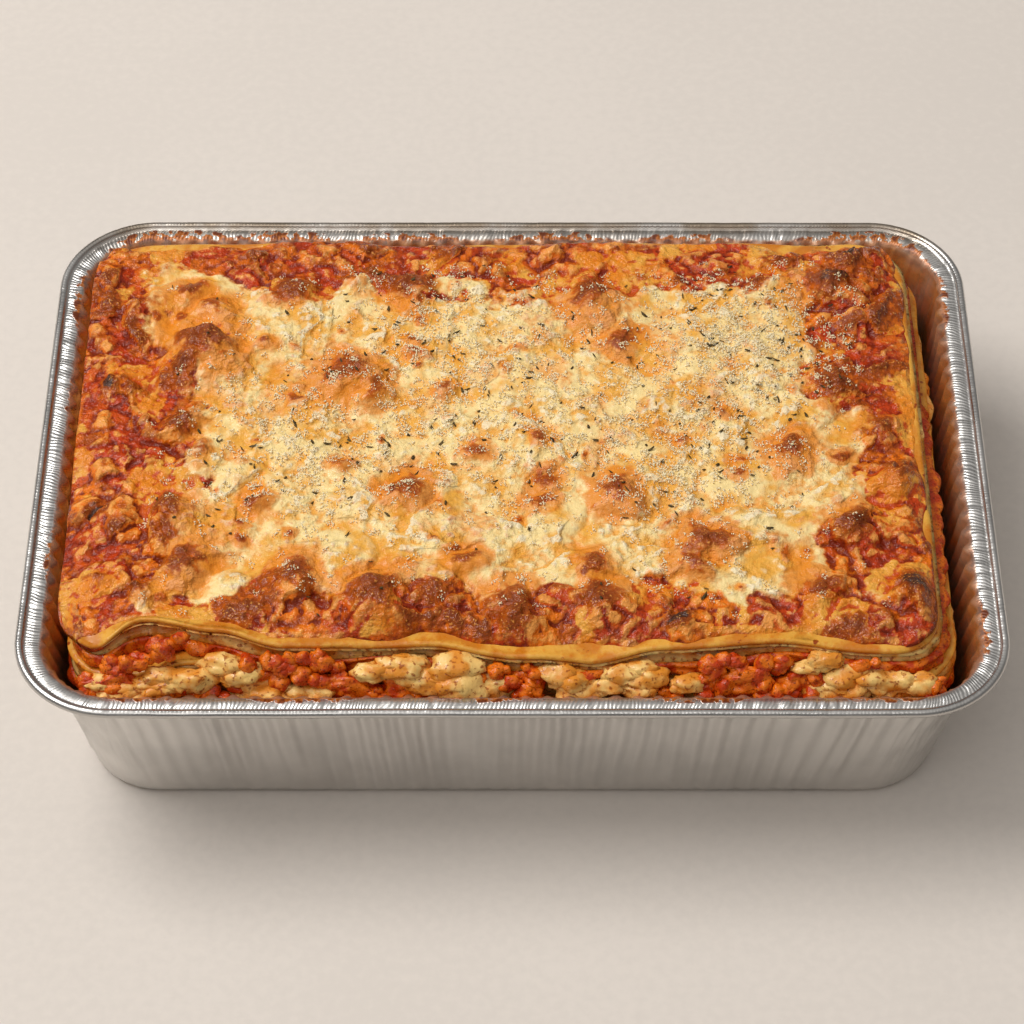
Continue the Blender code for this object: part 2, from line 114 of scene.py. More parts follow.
class LASAGNE_PG_colours(bpy.types.PropertyGroup):
    foil: colour("Foil", "Bare foil", (0.75, 0.73, 0.70))
    # Painted shade: this darker foil colour is laid over the flange and bead to stand in for their dim
    # reflections.
    rim_shade: colour("Dull foil", "Foil of the flange", (0.36, 0.345, 0.325))
    stain: colour("Stain", "Sauce burnt on to the foil", (0.50, 0.145, 0.016))
    grease: colour("Grease", "Film of oil on the tray's inner wall", (0.74, 0.37, 0.10))
    tarnish: colour("Tarnish", "Brownish film on the flange at the back", (0.30, 0.22, 0.14))
    cream: colour("Cream", "Thick melted cheese", (0.97, 0.735, 0.32))
    # Also laid on as painted shade in the cream's fine hollows.
    gold: colour("Gold", "Thin melted cheese", (0.88, 0.43, 0.062))
    # Painted highlight: a light colour laid on the sauce's tips and as small glints.
    peach_highlight: colour("Peach", "Light tips in the sauce", (0.96, 0.41, 0.085))
    amber: colour("Amber", "Baked halo round a bubble", (0.82, 0.250, 0.014))
    rust: colour("Rust", "Lighter spots on a browned bubble", (0.66, 0.135, 0.005))
    toast: colour("Toast", "Browned bubble", (0.35, 0.058, 0.003))
    scorch: colour("Scorch", "Darkest brown on top of a bubble", (0.155, 0.030, 0.005))
    char: colour("Char", "Burnt tip of a bubble", (0.070, 0.024, 0.013))
    orange: colour("Orange", "Oily sauce", (0.84, 0.185, 0.006))
    # Also laid on as painted shade in the fine hollows of the melted patches.
    sauce: colour("Sauce", "Tomato and meat sauce", (0.56, 0.048, 0.003))
    # Also laid on as painted shade in the sauce's hollows.
    meat: colour("Meat", "Dark lumps in the sauce", (0.20, 0.015, 0.002))
    white: colour("White sauce", "White sauce", (0.95, 0.605, 0.19))
    oily: colour("Oily white sauce", "White sauce stained by tomato and oil", (0.80, 0.29, 0.030))
    pasta: colour("Pasta", "Cooked pasta sheet", (0.80, 0.40, 0.055))
    baked: colour("Baked pasta", "Dried and baked pasta", (0.62, 0.20, 0.012))
    herb: colour("Herb", "Dried herb", (0.105, 0.064, 0.012))
    # Also laid on the crests of the cheese, partly as grated cheese and partly as a painted highlight.
    crumb_and_highlight: colour("Crumb", "Grated hard cheese", (0.98, 0.855, 0.58))
    floor: colour("Floor", "The table", (0.77, 0.70, 0.63))


def settings(group):
    """The scene's sizes or colours: the group is tray, food or colours."""
    return getattr(bpy.context.scene, "lasagne_" + group)


# ------------------------------------------------------------------ noise on arrays of points

def at_height(places, height):
    """Places with one height, or a height each, as a last column."""
    return np.column_stack([places, np.broadcast_to(height, len(places))])


def in_space(places):
    """Floats in three columns, from an (n, 2) or (n, 3) array of places."""
    places = np.asarray(places, float)
    return at_height(places, 0.0) if places.shape[1] == 2 else places


def lattice(cell, seed):
    """A steady number from -1 to 1 for each whole-numbered cell of an (n, 3) array."""
    mixed = cell[:, 0] * 374761393 + cell[:, 1] * 668265263 + cell[:, 2] * 974634777 + seed * 69069
    mixed &= 0xFFFFFFFF
    mixed = ((mixed ^ (mixed >> 13)) * 1274126177) & 0xFFFFFFFF
    return ((mixed ^ (mixed >> 16)) & 0xFFFFFF) / 0x7FFFFF - 1.0


def noise(points, size, seed=0, octaves=1):
    """Smooth value noise from -1 to 1 at (n, 2) or (n, 3) points, with features of a size."""
    points = in_space(points)
    total = np.zeros(len(points))
    weight = 1.0
    whole = 0.0
    for octave in range(octaves):
        scaled = points / size * 2**octave + 17.31 * octave
        cell = np.floor(scaled).astype(np.int64)
        part = scaled - cell
        ease = part**3 * (part * (part * 6 - 15) + 10)
        found = np.zeros(len(points))
        for corner in itertools.product((0, 1), repeat=3):
            share = np.prod(np.where(corner, ease, 1 - ease), axis=1)
            found += share * lattice(cell + corner, seed + octave)
        total += weight * found
        whole += weight
        weight *= 0.5
    return total / whole


def knobs(points, size, seed=0):
    """Knobs packed side by side: 1 on top and 0 between them, each one's number, and a round dome."""
    points = in_space(points) / size
    cell = np.floor(points).astype(np.int64)
    nearest = np.full(len(points), 9.0)
    second = np.full(len(points), 9.0)
    owner = np.zeros(len(points))
    for step in itertools.product((-1, 0, 1), repeat=3):
        near = cell + step
        jitter = np.column_stack([lattice(near, seed + k) * 0.42 + 0.5 for k in range(3)])
        away = np.linalg.norm(points - near - jitter, axis=1)
        closer = away < nearest
        second = np.where(closer, nearest, np.minimum(second, away))
        owner = np.where(closer, lattice(near, seed + 7), owner)
        nearest = np.where(closer, away, nearest)
    dome = np.sqrt(np.clip(1 - (nearest / 0.85) ** 2, 0, 1))
    return np.clip((second - nearest) * 1.6, 0, 1) ** 0.6, owner, dome


def smooth(low, high, value):
    """Eased step from 0 at low to 1 at high; low may be the larger."""
    share = np.clip((value - low) / (high - low), 0, 1)
    return share * share * (3 - 2 * share)


def blurred(grid, rounds):
    """A 2-D array softened by averaging each number with its neighbours, again and again."""
    for _ in range(rounds):
        for axis in (0, 1):
            grid = np.pad(grid, [(1, 1) if k == axis else (0, 0) for k in (0, 1)], mode="edge")
            low, middle, high = (np.take(grid, range(k, grid.shape[axis] - 2 + k), axis) for k in range(3))
            grid = 0.25 * low + 0.5 * middle + 0.25 * high
    return grid


# ------------------------------------------------------------------ meshes

def rounded_ring(half_length, half_width, corner, segments, centre=(0.0, 0.0)):
    """Points and outward directions anticlockwise round a rounded rectangle, from the front left.

    segments holds the segments of the front, right, back and left sides and of each corner.
    """
    places, outs = [], []
    for side in range(4):
        turn = side * math.pi / 2 - math.pi / 2
        out = np.array((math.cos(turn), math.sin(turn)))
        along = np.array((-out[1], out[0]))
        reach, run = (half_width, half_length) if side % 2 == 0 else (half_length, half_width)
        share = 2 * np.arange(segments[side])[:, None] / segments[side] - 1
        places.append(out * reach + along * (run - corner) * share)
        outs.append(np.repeat(out[None], segments[side], axis=0))
        angle = turn + np.arange(segments[4]) / segments[4] * math.pi / 2
        away = np.column_stack([np.cos(angle), np.sin(angle)])
        places.append(out * (reach - corner) + along * (run - corner) + away * corner)
        outs.append(away)
    return np.concatenate(places) + centre, np.concatenate(outs)


def box_ring(edges, inset, corner, segments):
    left, right, front, back = edges
    middle = ((left + right) / 2, (front + back) / 2)
    round_off = max(corner - inset, 1.5 * MM)
    return rounded_ring(
        (right - left) / 2 - inset, (back - front) / 2 - inset, round_off, segments, middle
    )


def mesh_object(name, points, faces, material):
    mesh = bpy.data.meshes.new(name)
    mesh.from_pydata(np.asarray(points).tolist(), [], faces)
    mesh.materials.append(material)
    mesh.shade_smooth()
    obj = bpy.data.objects.new(name, mesh)
    bpy.context.scene.collection.objects.link(obj)
    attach(obj, BODY)
    return obj


def loft(name, rows, material):
    """A capped tube of quads through rings of equal length, listed so that it faces out."""
    rows = np.asarray(rows)
    count, ring = rows.shape[:2]
    index = np.arange(count * ring).reshape(count, ring)
    ahead = np.roll(index, -1, axis=1)
    quads = np.stack([index[:-1], ahead[:-1], ahead[1:], index[1:]], axis=-1).reshape(-1, 4)
    caps = [index[0][::-1].tolist(), index[-1].tolist()]
    return mesh_object(name, rows.reshape(-1, 3), quads.tolist() + caps, material)


def add_values(obj, name, values):
    """Stores one number for each point, for a material to read."""
    layer = obj.data.attributes.new(name, "FLOAT", "POINT")
    layer.data.foreach_set("value", np.asarray(values, np.float32))


def add_map(obj, name, values, seam_faces=(), seam_shift=0.0):
    """Stores a UV map from an (n, 2) array of point values; seam faces wrap round by a shift."""
    mesh = obj.data
    layer = mesh.uv_layers.new(name=name)
    index = np.empty(len(mesh.loops), np.int32)
    mesh.loops.foreach_get("vertex_index", index)
    found = np.asarray(values, np.float32)[index]
    if seam_shift:
        for number in seam_faces:
            face = mesh.polygons[number]
            for k in face.loop_indices:
                if found[k, 0] < seam_shift / 2:
                    found[k, 0] += seam_shift
    layer.data.foreach_set("uv", found.ravel())


# ------------------------------------------------------------------ material building

def is_socket(value):
    return isinstance(value, bpy.types.NodeSocket)


def feed(socket, value):
    """Links an input to another node's socket, or sets its number or colour."""
    if is_socket(value):
        socket.id_data.links.new(value, socket)
    elif socket.type == "RGBA":
        socket.default_value = (*value[:3], 1.0)
    else:
        socket.default_value = value


def node(tree, kind, inputs=None, **options):
    """Adds a shader node; an input's value is a number, a colour or another node's socket."""
    made = tree.nodes.new("ShaderNode" + kind)
    for key, value in options.items():
        setattr(made, key, value)
    for key, value in (inputs or {}).items():
        feed(made.inputs[key], value)
    return made


def maths(operation, *values):
    """A Math node in the tree that the values' sockets belong to."""
    tree = next(value.id_data for value in values if is_socket(value))
    return node(tree, "Math", dict(enumerate(values)), operation=operation).outputs[0]


def plus(first, second):
    return maths("ADD", first, second)


def minus(first, second):
    return maths("SUBTRACT", first, second)


def times(first, second):
    return maths("MULTIPLY", first, second)


def larger(first, second):
    return maths("MAXIMUM", first, second)


def mix(share, first, second):
    """A colour that goes from first to second as the share goes from 0 to 1."""
    made = share.id_data.nodes.new("ShaderNodeMix")
    made.data_type = "RGBA"
    for number, value in ((0, share), (6, first), (7, second)):
        feed(made.inputs[number], value)
    return made.outputs[2]


def step_between(value, low, high, out_low=0.0, out_high=1.0):
    """A value eased from out_low to out_high as it goes from low to high."""
    limits = {"Value": value, "From Min": low, "From Max": high, "To Min": out_low, "To Max": out_high}
    return node(value.id_data, "MapRange", limits, interpolation_type="SMOOTHSTEP").outputs[0]


def grain_at(place, scale, detail=2.0):
    """Noise from 0 to 1 over a place."""
    inputs = {"Vector": place, "Scale": scale, "Detail": detail}
    return node(place.id_data, "TexNoise", inputs).outputs["Fac"]


def values_of(tree, name):
    return node(tree, "Attribute", attribute_name=name).outputs["Fac"]


def roughen(shader, height, strength, distance):
    """Gives a shader a bump of a height in scene units."""
    relief = node(height.id_data, "Bump", {"Height": height, "Strength": strength, "Distance": distance})
    feed(shader.inputs["Normal"], relief.outputs[0])


def new_material(name, **sockets):
    material = bpy.data.materials.new(name)
    material.use_nodes = True
    tree = material.node_tree
    shader = tree.nodes["Principled BSDF"]
    for key, value in sockets.items():
        feed(shader.inputs[key.replace("_", " ")], value)
    return material, tree, shader


def group_of(name, inputs, outputs):
    """An empty shader node group with its sockets, and its input and output nodes."""
    tree = bpy.data.node_groups.new(name, "ShaderNodeTree")
    for label, kind, default in inputs:
        socket = tree.interface.new_socket(label, in_out="INPUT", socket_type=kind)
        socket.default_value = default
    for label, kind in outputs:
        tree.interface.new_socket(label, in_out="OUTPUT", socket_type=kind)
    return tree, tree.nodes.new("NodeGroupInput").outputs, tree.nodes.new("NodeGroupOutput").inputs


def mottle_group():
    """Soft cloudy colour with specks, and a matching height for a bump."""
    name = "Food Mottle"
    if name in bpy.data.node_groups:
        return bpy.data.node_groups[name]
    tree, given, gives = group_of(
        name,
        (
            ("Light", "NodeSocketColor", (0.8, 0.6, 0.4, 1)),
            ("Dark", "NodeSocketColor", (0.4, 0.2, 0.1, 1)),
            ("Speck", "NodeSocketColor", (0.2, 0.05, 0.02, 1)),
            ("Scale", "NodeSocketFloat", 200.0),
            ("Specks", "NodeSocketFloat", 0.3),
        ),
        (("Color", "NodeSocketColor"), ("Height", "NodeSocketFloat"), ("Wet", "NodeSocketFloat")),
    )
    place = node(tree, "TexCoord").outputs["Object"]
    cloud = grain_at(place, given["Scale"], 3.0)
    fine = grain_at(place, times(given["Scale"], 5.0))
    body = mix(step_between(cloud, 0.40, 0.60), given["Dark"], given["Light"])
    dots = times(step_between(fine, 0.56, 0.68), given["Specks"])
    feed(gives["Color"], mix(dots, body, given["Speck"]))
    feed(gives["Height"], plus(cloud, times(fine, 0.45)))
    feed(gives["Wet"], step_between(fine, 0.40, 0.62))
    return tree


def mottle(tree, light, dark, speck, scale, specks):
    inputs = {"Light": light, "Dark": dark, "Speck": speck, "Scale": scale, "Specks": specks}
    return node(tree, "Group", inputs, node_tree=mottle_group()).outputs


def food_material(name, light, dark, speck, scale, specks, bump, dry, wet):
    """A moist food finish: cloudy colour, fine relief and patches that shine."""
    if name in bpy.data.materials:
        return bpy.data.materials[name]
    material, tree, shader = new_material(name, IOR=1.42)
    parts = mottle(tree, light, dark, speck, scale, specks)
    feed(shader.inputs["Base Color"], parts["Color"])
    feed(shader.inputs["Roughness"], step_between(parts["Wet"], 0.0, 1.0, dry, wet))
    roughen(shader, parts["Height"], 0.6, bump)
    return material


def pasta_material():
    """Cooked pasta with a few scorched dots."""
    if "Pasta" in bpy.data.materials:
        return bpy.data.materials["Pasta"]
    colours = settings("colours")
    material, tree, shader = new_material("Pasta", IOR=1.42)
    parts = mottle(tree, colours.pasta, colours.baked, colours.rust, 170.0, 0.35)
    place = node(tree, "TexCoord").outputs["Object"]
    scorch = step_between(grain_at(place, 330.0, 3.0), 0.655, 0.70)
    feed(shader.inputs["Base Color"], mix(scorch, parts["Color"], colours.toast))
    feed(shader.inputs["Roughness"], step_between(parts["Wet"], 0.0, 1.0, 0.42, 0.22))
    roughen(shader, parts["Height"], 0.7, 0.4 * MM)
    return material


def meat_material():
    colours = settings("colours")
    return food_material(
        "Meat Sauce", colours.orange, colours.sauce, colours.meat, 330.0, 0.75, 0.8 * MM, 0.36, 0.14
    )


def white_material():
    colours = settings("colours")
    return food_material(
        "White Sauce", colours.white, colours.oily, colours.toast, 190.0, 0.80, 0.7 * MM, 0.42, 0.20
    )


# ------------------------------------------------------------------ tray

def wall_half(tray, height, inset=0.0):
    """Half length, half width and corner radius of the wall's outer face at a height."""
    rise = TRAY_HIGH.z
    share = (height - tray.base_round) / (rise - tray.base_round)
    foot = TRAY_HIGH.x - tray.base_inset
    top = TRAY_HIGH.x - tray.band + tray.foil
    half_length = foot + (top - foot) * share - inset
    half_width = half_length - (TRAY_HIGH.x - TRAY_HIGH.y)
    corner = tray.base_corner + (tray.corner - tray.band - tray.base_corner) * share - inset
    return half_length, half_width, corner


class Wall:
    """The stations round the tray and the flutes and creases that they carry."""

    PER_FLUTE = 10
    PER_CORNER = 64
    CORNER_FOLDS = 7

    def __init__(self, tray):
        self.tray = tray
        long_side, short_side = tray.long_flutes * self.PER_FLUTE, tray.short_flutes * self.PER_FLUTE
        self.segments = (long_side, short_side, long_side, short_side, self.PER_CORNER)
        places = self.rim(0.0)
        steps = np.linalg.norm(np.roll(places, -1, axis=0) - places, axis=1)
        self.around = np.concatenate([[0.0], np.cumsum(steps)[:-1]])
        self.perimeter = steps.sum()
        corner, phase = [], []
        for side in range(4):
            count = self.segments[side]
            here = np.arange(count) / count
            edge = np.minimum(here, 1 - here) * count / self.PER_FLUTE
            corner.append(0.5 * (1 - smooth(0.0, 2.0, edge)))
            phase.append(np.arange(count) / self.PER_FLUTE)
            turn = np.arange(self.PER_CORNER) / self.PER_CORNER
            corner.append(0.5 + 0.5 * smooth(0.0, 0.2, np.minimum(turn, 1 - turn)))
            phase.append(turn * self.CORNER_FOLDS)
        self.corner = np.concatenate(corner)
        self.phase = np.concatenate(phase)

    def rim(self, inset):
        corner = self.tray.corner - inset
        return rounded_ring(TRAY_HIGH.x - inset, TRAY_HIGH.y - inset, corner, self.segments)[0]

    def relief(self, height):
        """How far the wall stands out from its plain shape at a height."""
        tray = self.tray
        up = height / TRAY_HIGH.z
        spot = at_height(self.around, height)
        wander = 0.26 * noise(spot * (1, 0.5), 16 * MM, 5) + 0.06 * noise(spot, 7 * MM, 6)
        strength = 0.72 + 0.38 * noise(spot * (1, 0.4), 11 * MM, 7)
        wave = np.cos(2 * np.pi * (self.phase + wander))
        flute = tray.flute_depth * (0.35 + 0.65 * up) * 0.5 * wave * strength
        folds = []
        for slant in (-0.40, 0.40):
            lean = self.around + slant * height
            folds.append(noise(at_height(lean, height * 0.2), 2.3 * MM, 8, 2))
        share = smooth(-0.3, 0.3, noise(spot, 12 * MM, 11))
        fold = folds[0] * (1 - share) + folds[1] * share
        crease = tray.crease_depth * (0.30 + 0.70 * up) * (0.45 - np.abs(fold) * 1.5)
        dent = tray.dent_depth * noise(spot, 21 * MM, 9, 2)
        small = 0.10 * MM * noise(spot, 3.5 * MM, 10, 2)
        return (1 - self.corner) * flute + self.corner * crease + dent + small

    def ring(self, height, inset=0.0):
        half_length, half_width, corner = wall_half(self.tray, height, inset)
        places, outs = rounded_ring(half_length, half_width, corner, self.segments)
        places = places + outs * self.relief(height)[:, None]
        return at_height(places, height)


def foil_material():
    """Thin pressed foil: satin wall, a shinier rim with painted shade on it that is strongest at the front,
    and sauce burnt on along its inner edge.
    """
    colours = settings("colours")
    material, tree, shader = new_material("Foil", Metallic=1.0, IOR=1.5)
    place = node(tree, "TexCoord").outputs["Object"]
    track = node(tree, "UVMap", uv_map="track").outputs[0]
    parts = node(tree, "SeparateXYZ", {"Vector": track}).outputs
    around, across = parts[0], parts[1]
    grain = grain_at(place, 900.0, 3.0)
    cloud = grain_at(place, 70.0, 4.0)
    blot = grain_at(place, 480.0, 4.0)
    to_back = node(tree, "SeparateXYZ", {"Vector": place}).outputs[1]
    stretched = node(tree, "Mapping", {"Vector": track, "Scale": (60.0, 900.0, 1.0)}).outputs[0]
    scuff = grain_at(stretched, 1.0, 3.0)

    reach = times(values_of(tree, "stain_reach"), step_between(blot, 0.36, 0.60))
    stain = step_between(minus(reach, across), -0.3 * MM, 0.5 * MM)
    inside, bright = values_of(tree, "inside"), values_of(tree, "bright")
    film = times(inside, step_between(cloud, 0.38, 0.60, 0.55, 0.95))
    stain = times(stain, minus(1.0, times(inside, 0.7)))
    dirty = larger(stain, film)
    stain_colour = mix(step_between(blot, 0.48, 0.62), colours.stain, colours.scorch)
    bare = mix(step_between(cloud, 0.35, 0.65), [c * 0.90 for c in colours.foil], colours.foil)
    # Painted shade on the flange and bead, strongest along the front of the rim.
    rim_shade_share = step_between(to_back, -66 * MM, -58 * MM, 0.45, 0.12)
    bare = mix(times(bright, rim_shade_share), bare, colours.rim_shade)
    tarnish = times(step_between(to_back, 60 * MM, 68 * MM), bright)
    tarnish = times(tarnish, step_between(cloud, 0.36, 0.60, 0.35, 0.85))
    bare = mix(tarnish, bare, colours.tarnish)
    greasy = mix(film, bare, colours.grease)
    feed(shader.inputs["Base Color"], mix(stain, greasy, stain_colour))
    feed(shader.inputs["Metallic"], minus(1.0, larger(times(stain, 0.85), times(film, 0.12))))

    satin = step_between(scuff, 0.3, 0.7, 0.36, 0.50)
    shiny = step_between(scuff, 0.3, 0.7, 0.22, 0.36)
    feed(shader.inputs["Roughness"], plus(times(satin, minus(1.0, bright)), times(shiny, bright)))

    wobble = grain_at(place, 130.0)
    slanted = plus(around, times(across, 0.25))
    phase = plus(times(slanted, math.tau / (0.9 * MM)), times(wobble, 26.0))
    crimp = times(maths("SINE", phase), values_of(tree, "crimped"))
    height = times(crimp, 0.30)
    for value, share in ((grain, 0.22), (scuff, 0.30), (dirty, 0.9)):
        height = plus(height, times(value, share))
    roughen(shader, height, 0.55, 0.16 * MM)
    return material


# Degrees round the rolled bead's section, from under it to over it
BEAD_ANGLES = (-150, -115, -80, -45, -10, 20, 50, 80, 110, 140)

# Places along the rim where sauce has run on to the flange: X, Y, half length, reach over the flange
STAINS = (
    (-0.100, 0.050, 0.011, 1.8 * MM),
    (-0.082, 0.069, 0.016, 3.6 * MM),
    (-0.101, 0.018, 0.007, 1.2 * MM),
    (-0.101, -0.030, 0.009, 1.3 * MM),
    (-0.055, 0.069, 0.013, 3.0 * MM),
    (-0.025, 0.069, 0.014, 2.2 * MM),
    (0.010, 0.069, 0.014, 2.6 * MM),
    (0.042, 0.069, 0.012, 2.0 * MM),
    (0.085, 0.068, 0.016, 3.2 * MM),
    (0.101, 0.050, 0.010, 1.5 * MM),
    (0.101, 0.015, 0.005, 0.8 * MM),
    (0.101, -0.052, 0.009, 1.9 * MM),
    (0.080, -0.069, 0.010, 1.6 * MM),
    (0.040, -0.069, 0.014, 1.7 * MM),
    (-0.005, -0.069, 0.012, 1.5 * MM),
    (-0.045, -0.069, 0.013, 1.7 * MM),
    (-0.080, -0.069, 0.009, 1.4 * MM),
)


class LASAGNE_OT_tray(bpy.types.Operator):
    """Make the fluted foil tray with its flange and rolled bead"""

    bl_idname = "lasagne.tray"
    bl_label = "Foil Tray"

    def execute(self, context):
        tray = settings("tray")
        wall = Wall(tray)
        rim_z = TRAY_HIGH.z
        under = rim_z - 2 * tray.bead + 0.3 * MM
        top = under + tray.foil
        wall_top = under - 0.9 * MM
        rings = []

        def add(row, across, bright=0.0, crimped=0.0, inside=0.0):
            """Adds a ring, with its distance out from the wall's top and its looks."""
            rings.append((row, across, bright, crimped, inside))

        def base(inset, height):
            half_length, half_width, corner = wall_half(tray, tray.base_round, inset)
            places, _outs = rounded_ring(half_length, half_width, corner, wall.segments)
            return at_height(places, height)

        heights = np.linspace(tray.base_round, wall_top, 11)
        add(base(tray.base_round + 5 * MM, 0.0), 0.06)
        for degrees in (0, 30, 60):
            angle = math.radians(degrees)
            inset = tray.base_round * (1 - math.sin(angle))
            height = tray.base_round * (1 - math.cos(angle))
            add(base(inset, height), 0.055)
        for height in heights:
            add(wall.ring(height), 0.05)

        line = at_height(wall.around, 0.0)
        low_sway = 0.16 * MM
        sway = low_sway * noise(line, 30 * MM, 21, 2)
        fluting = noise(line, 1.1 * MM, 23) * (1 - wall.corner)
        fluting += noise(line, 1.9 * MM, 24) * wall.corner
        fluting *= 0.15 * MM * (1 + 0.7 * wall.corner) * (0.8 + 0.4 * noise(line, 14 * MM, 25))
        beading = 1 + 0.05 * noise(line, 6 * MM, 22) + 0.05 * noise(line, 1.2 * MM, 26)

        def rim(inset, height, ridged=0.0):
            return at_height(wall.rim(inset), height + sway + fluting * ridged)

        inner_edge = tray.band - 0.9 * MM
        add(rim(inner_edge, under), 0.03)
        add(rim(2.4 * tray.bead, under), 0.03, 0.2)
        for degrees in BEAD_ANGLES:
            angle = math.radians(degrees)
            inset = tray.bead * (1 - math.cos(angle))
            height = rim_z - tray.bead + tray.bead * math.sin(angle) * np.minimum(beading, 1.0)
            add(at_height(wall.rim(inset), height + sway - low_sway), 0.012, 1.0, 0.25)
        add(rim(2.05 * tray.bead, top - 0.12 * MM, 0.2), 4.2 * MM, 0.7, 0.4)
        add(rim(2.6 * tray.bead, top + 0.12 * MM, 0.8), 3.6 * MM, 0.6, 1.0)
        add(rim(inner_edge - 1.4 * MM, top + 0.16 * MM, 1.2), 1.7 * MM, 0.5, 1.0)
        add(rim(inner_edge - 0.2 * MM, top, 0.9), 0.5 * MM, 0.5, 0.8)
        add(rim(inner_edge + 0.35 * MM, top - 0.35 * MM), 0.0, 0.4, 0.3, 0.35)
        for height in heights[::-1]:
            add(wall.ring(height, tray.foil), -0.5 * MM - (wall_top - height), 0.0, 0.0, 1.0)
        add(base(tray.base_round + 1 * MM, tray.foil), -0.06, 0.0, 0.0, 1.0)

        rows, across, bright, crimped, inside = zip(*rings)
        rows = [at_height(row[:, :2], np.clip(row[:, 2], TRAY_LOW.z, rim_z)) for row in rows]
        obj = loft("tray_foil", rows, foil_material())
        count = len(wall.around)
        track = np.column_stack([np.tile(wall.around, len(rows)), np.repeat(across, count)])
        seam = [row * count + count - 1 for row in range(len(rows) - 1)]
        add_map(obj, "track", track, seam, wall.perimeter)
        for key, values in (("bright", bright), ("crimped", crimped), ("inside", inside)):
            add_values(obj, key, np.repeat(values, count))
        places = wall.rim(tray.band)
        reach = np.full(count, 0.35 * MM)
        for x, y, half, far in STAINS:
            away = np.hypot(places[:, 0] - x, places[:, 1] - y)
            reach = np.maximum(reach, far * 1.25 * smooth(half * 1.25, half * 0.35, away))
        add_values(obj, "stain_reach", np.tile(reach, len(rows)))
        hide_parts("foil_tray")
        return {"FINISHED"}


# ------------------------------------------------------------------ the stack of layers

STACK = plan_edges("meat_sauce_lower")
FOOD_STATIONS = (240, 150, 240, 150, 18)

# The top sheet's front edge, left to right: place along X, how far it draws back, how far it rises
FRONT_LINE = (
    (-0.098, 0.0020, -0.0020),
    (-0.091, 0.0010, -0.0006),
    (-0.079, 0.0062, 0.0052),
    (-0.064, 0.0042, 0.0024),
    (-0.049, 0.0010, 0.0000),
    (-0.019, 0.0018, 0.0006),
    (0.003, -0.0016, -0.0006),
    (0.016, -0.0018, -0.0012),
    (0.033, 0.0008, 0.0006),
    (0.059, 0.0022, 0.0012),
    (0.081, 0.0004, 0.0000),
    (0.093, -0.0008, -0.0016),
)
# The same for the sheet below it, whose arches fall at other places
SECOND_LINE = (
    (-0.098, 0.0010, 0.0000),
    (-0.084, 0.0000, 0.0016),
    (-0.069, 0.0004, 0.0058),
    (-0.056, 0.0008, 0.0016),
    (-0.040, 0.0020, -0.0010),
    (-0.024, 0.0010, 0.0030),
    (-0.006, 0.0015, 0.0000),
    (0.012, 0.0012, 0.0032),
    (0.030, 0.0010, 0.0004),
    (0.046, 0.0020, -0.0006),
    (0.066, 0.0000, 0.0048),
    (0.079, -0.0006, 0.0014),
    (0.092, -0.0006, 0.0006),
    (0.099, 0.0000, 0.0010),
)


def eased_line(stations, x):
    """Draw-back and rise along a front edge, eased between its stations."""
    stations = np.array(stations)
    index = np.clip(np.searchsorted(stations[:, 0], x) - 1, 0, len(stations) - 2)
    left, right = stations[index], stations[index + 1]
    share = np.clip((x - left[:, 0]) / (right[:, 0] - left[:, 0]), 0, 1)
    ease = (share * share * (3 - 2 * share))[:, None]
    found = left[:, 1:] * (1 - ease) + right[:, 1:] * ease
    return found[:, 0], found[:, 1]


def inside_by(places, edges):
    """How far places lie inside the nearest of the left, right, front and back edges."""
    left, right, front, back = edges
    x, y = places[:, 0], places[:, 1]
    return np.minimum.reduce([x - left, right - x, y - front, back - y])


def edge_share(places, reach):
    """1 at the edge of the stack, falling to 0 where the layers lie flat."""
    return smooth(1.0, 0.0, np.clip(inside_by(places, STACK) / reach, 0, 1))


def sheet_rise(name, places):
    """The rise of a sheet's middle surface over its level, at (n, 2) places."""
    food = settings("food")
    number = SHEETS.index(name)
    share = edge_share(places, food.reach)
    rise = food.ripple * noise(places, 24 * MM, 31 + number, 2) * share
    rise += 0.35 * MM * noise(places, 40 * MM, 41 + number)
    if name != "pasta_sheet_lower":
        line = FRONT_LINE if name == "pasta_sheet_top" else SECOND_LINE
        _back, lift = eased_line(line, places[:, 0])
        rise += lift * share * smooth(0.0, -0.045, places[:, 1])
    return rise


def sheet_surface(name, side):
    """A function of places for a sheet's upper (side 1) or lower (side -1) face."""
    food = settings("food")
    level = middle_height(name) + side * food.sheet / 2
    return lambda places: level + sheet_rise(name, places)


def food_ring(edges, inset, line=None):
    """Outline of a layer, its front drawn back along a line."""
    food = settings("food")
    places, outs = box_ring(edges, inset, food.corner, FOOD_STATIONS)
    if line:
        back, _lift = eased_line(line, places[:, 0])
        fade = max(0.0, 1 - inset / food.reach)
        places = places + np.column_stack([np.zeros(len(back)), back * np.clip(-outs[:, 1], 0, 1) * fade])
    return places, outs


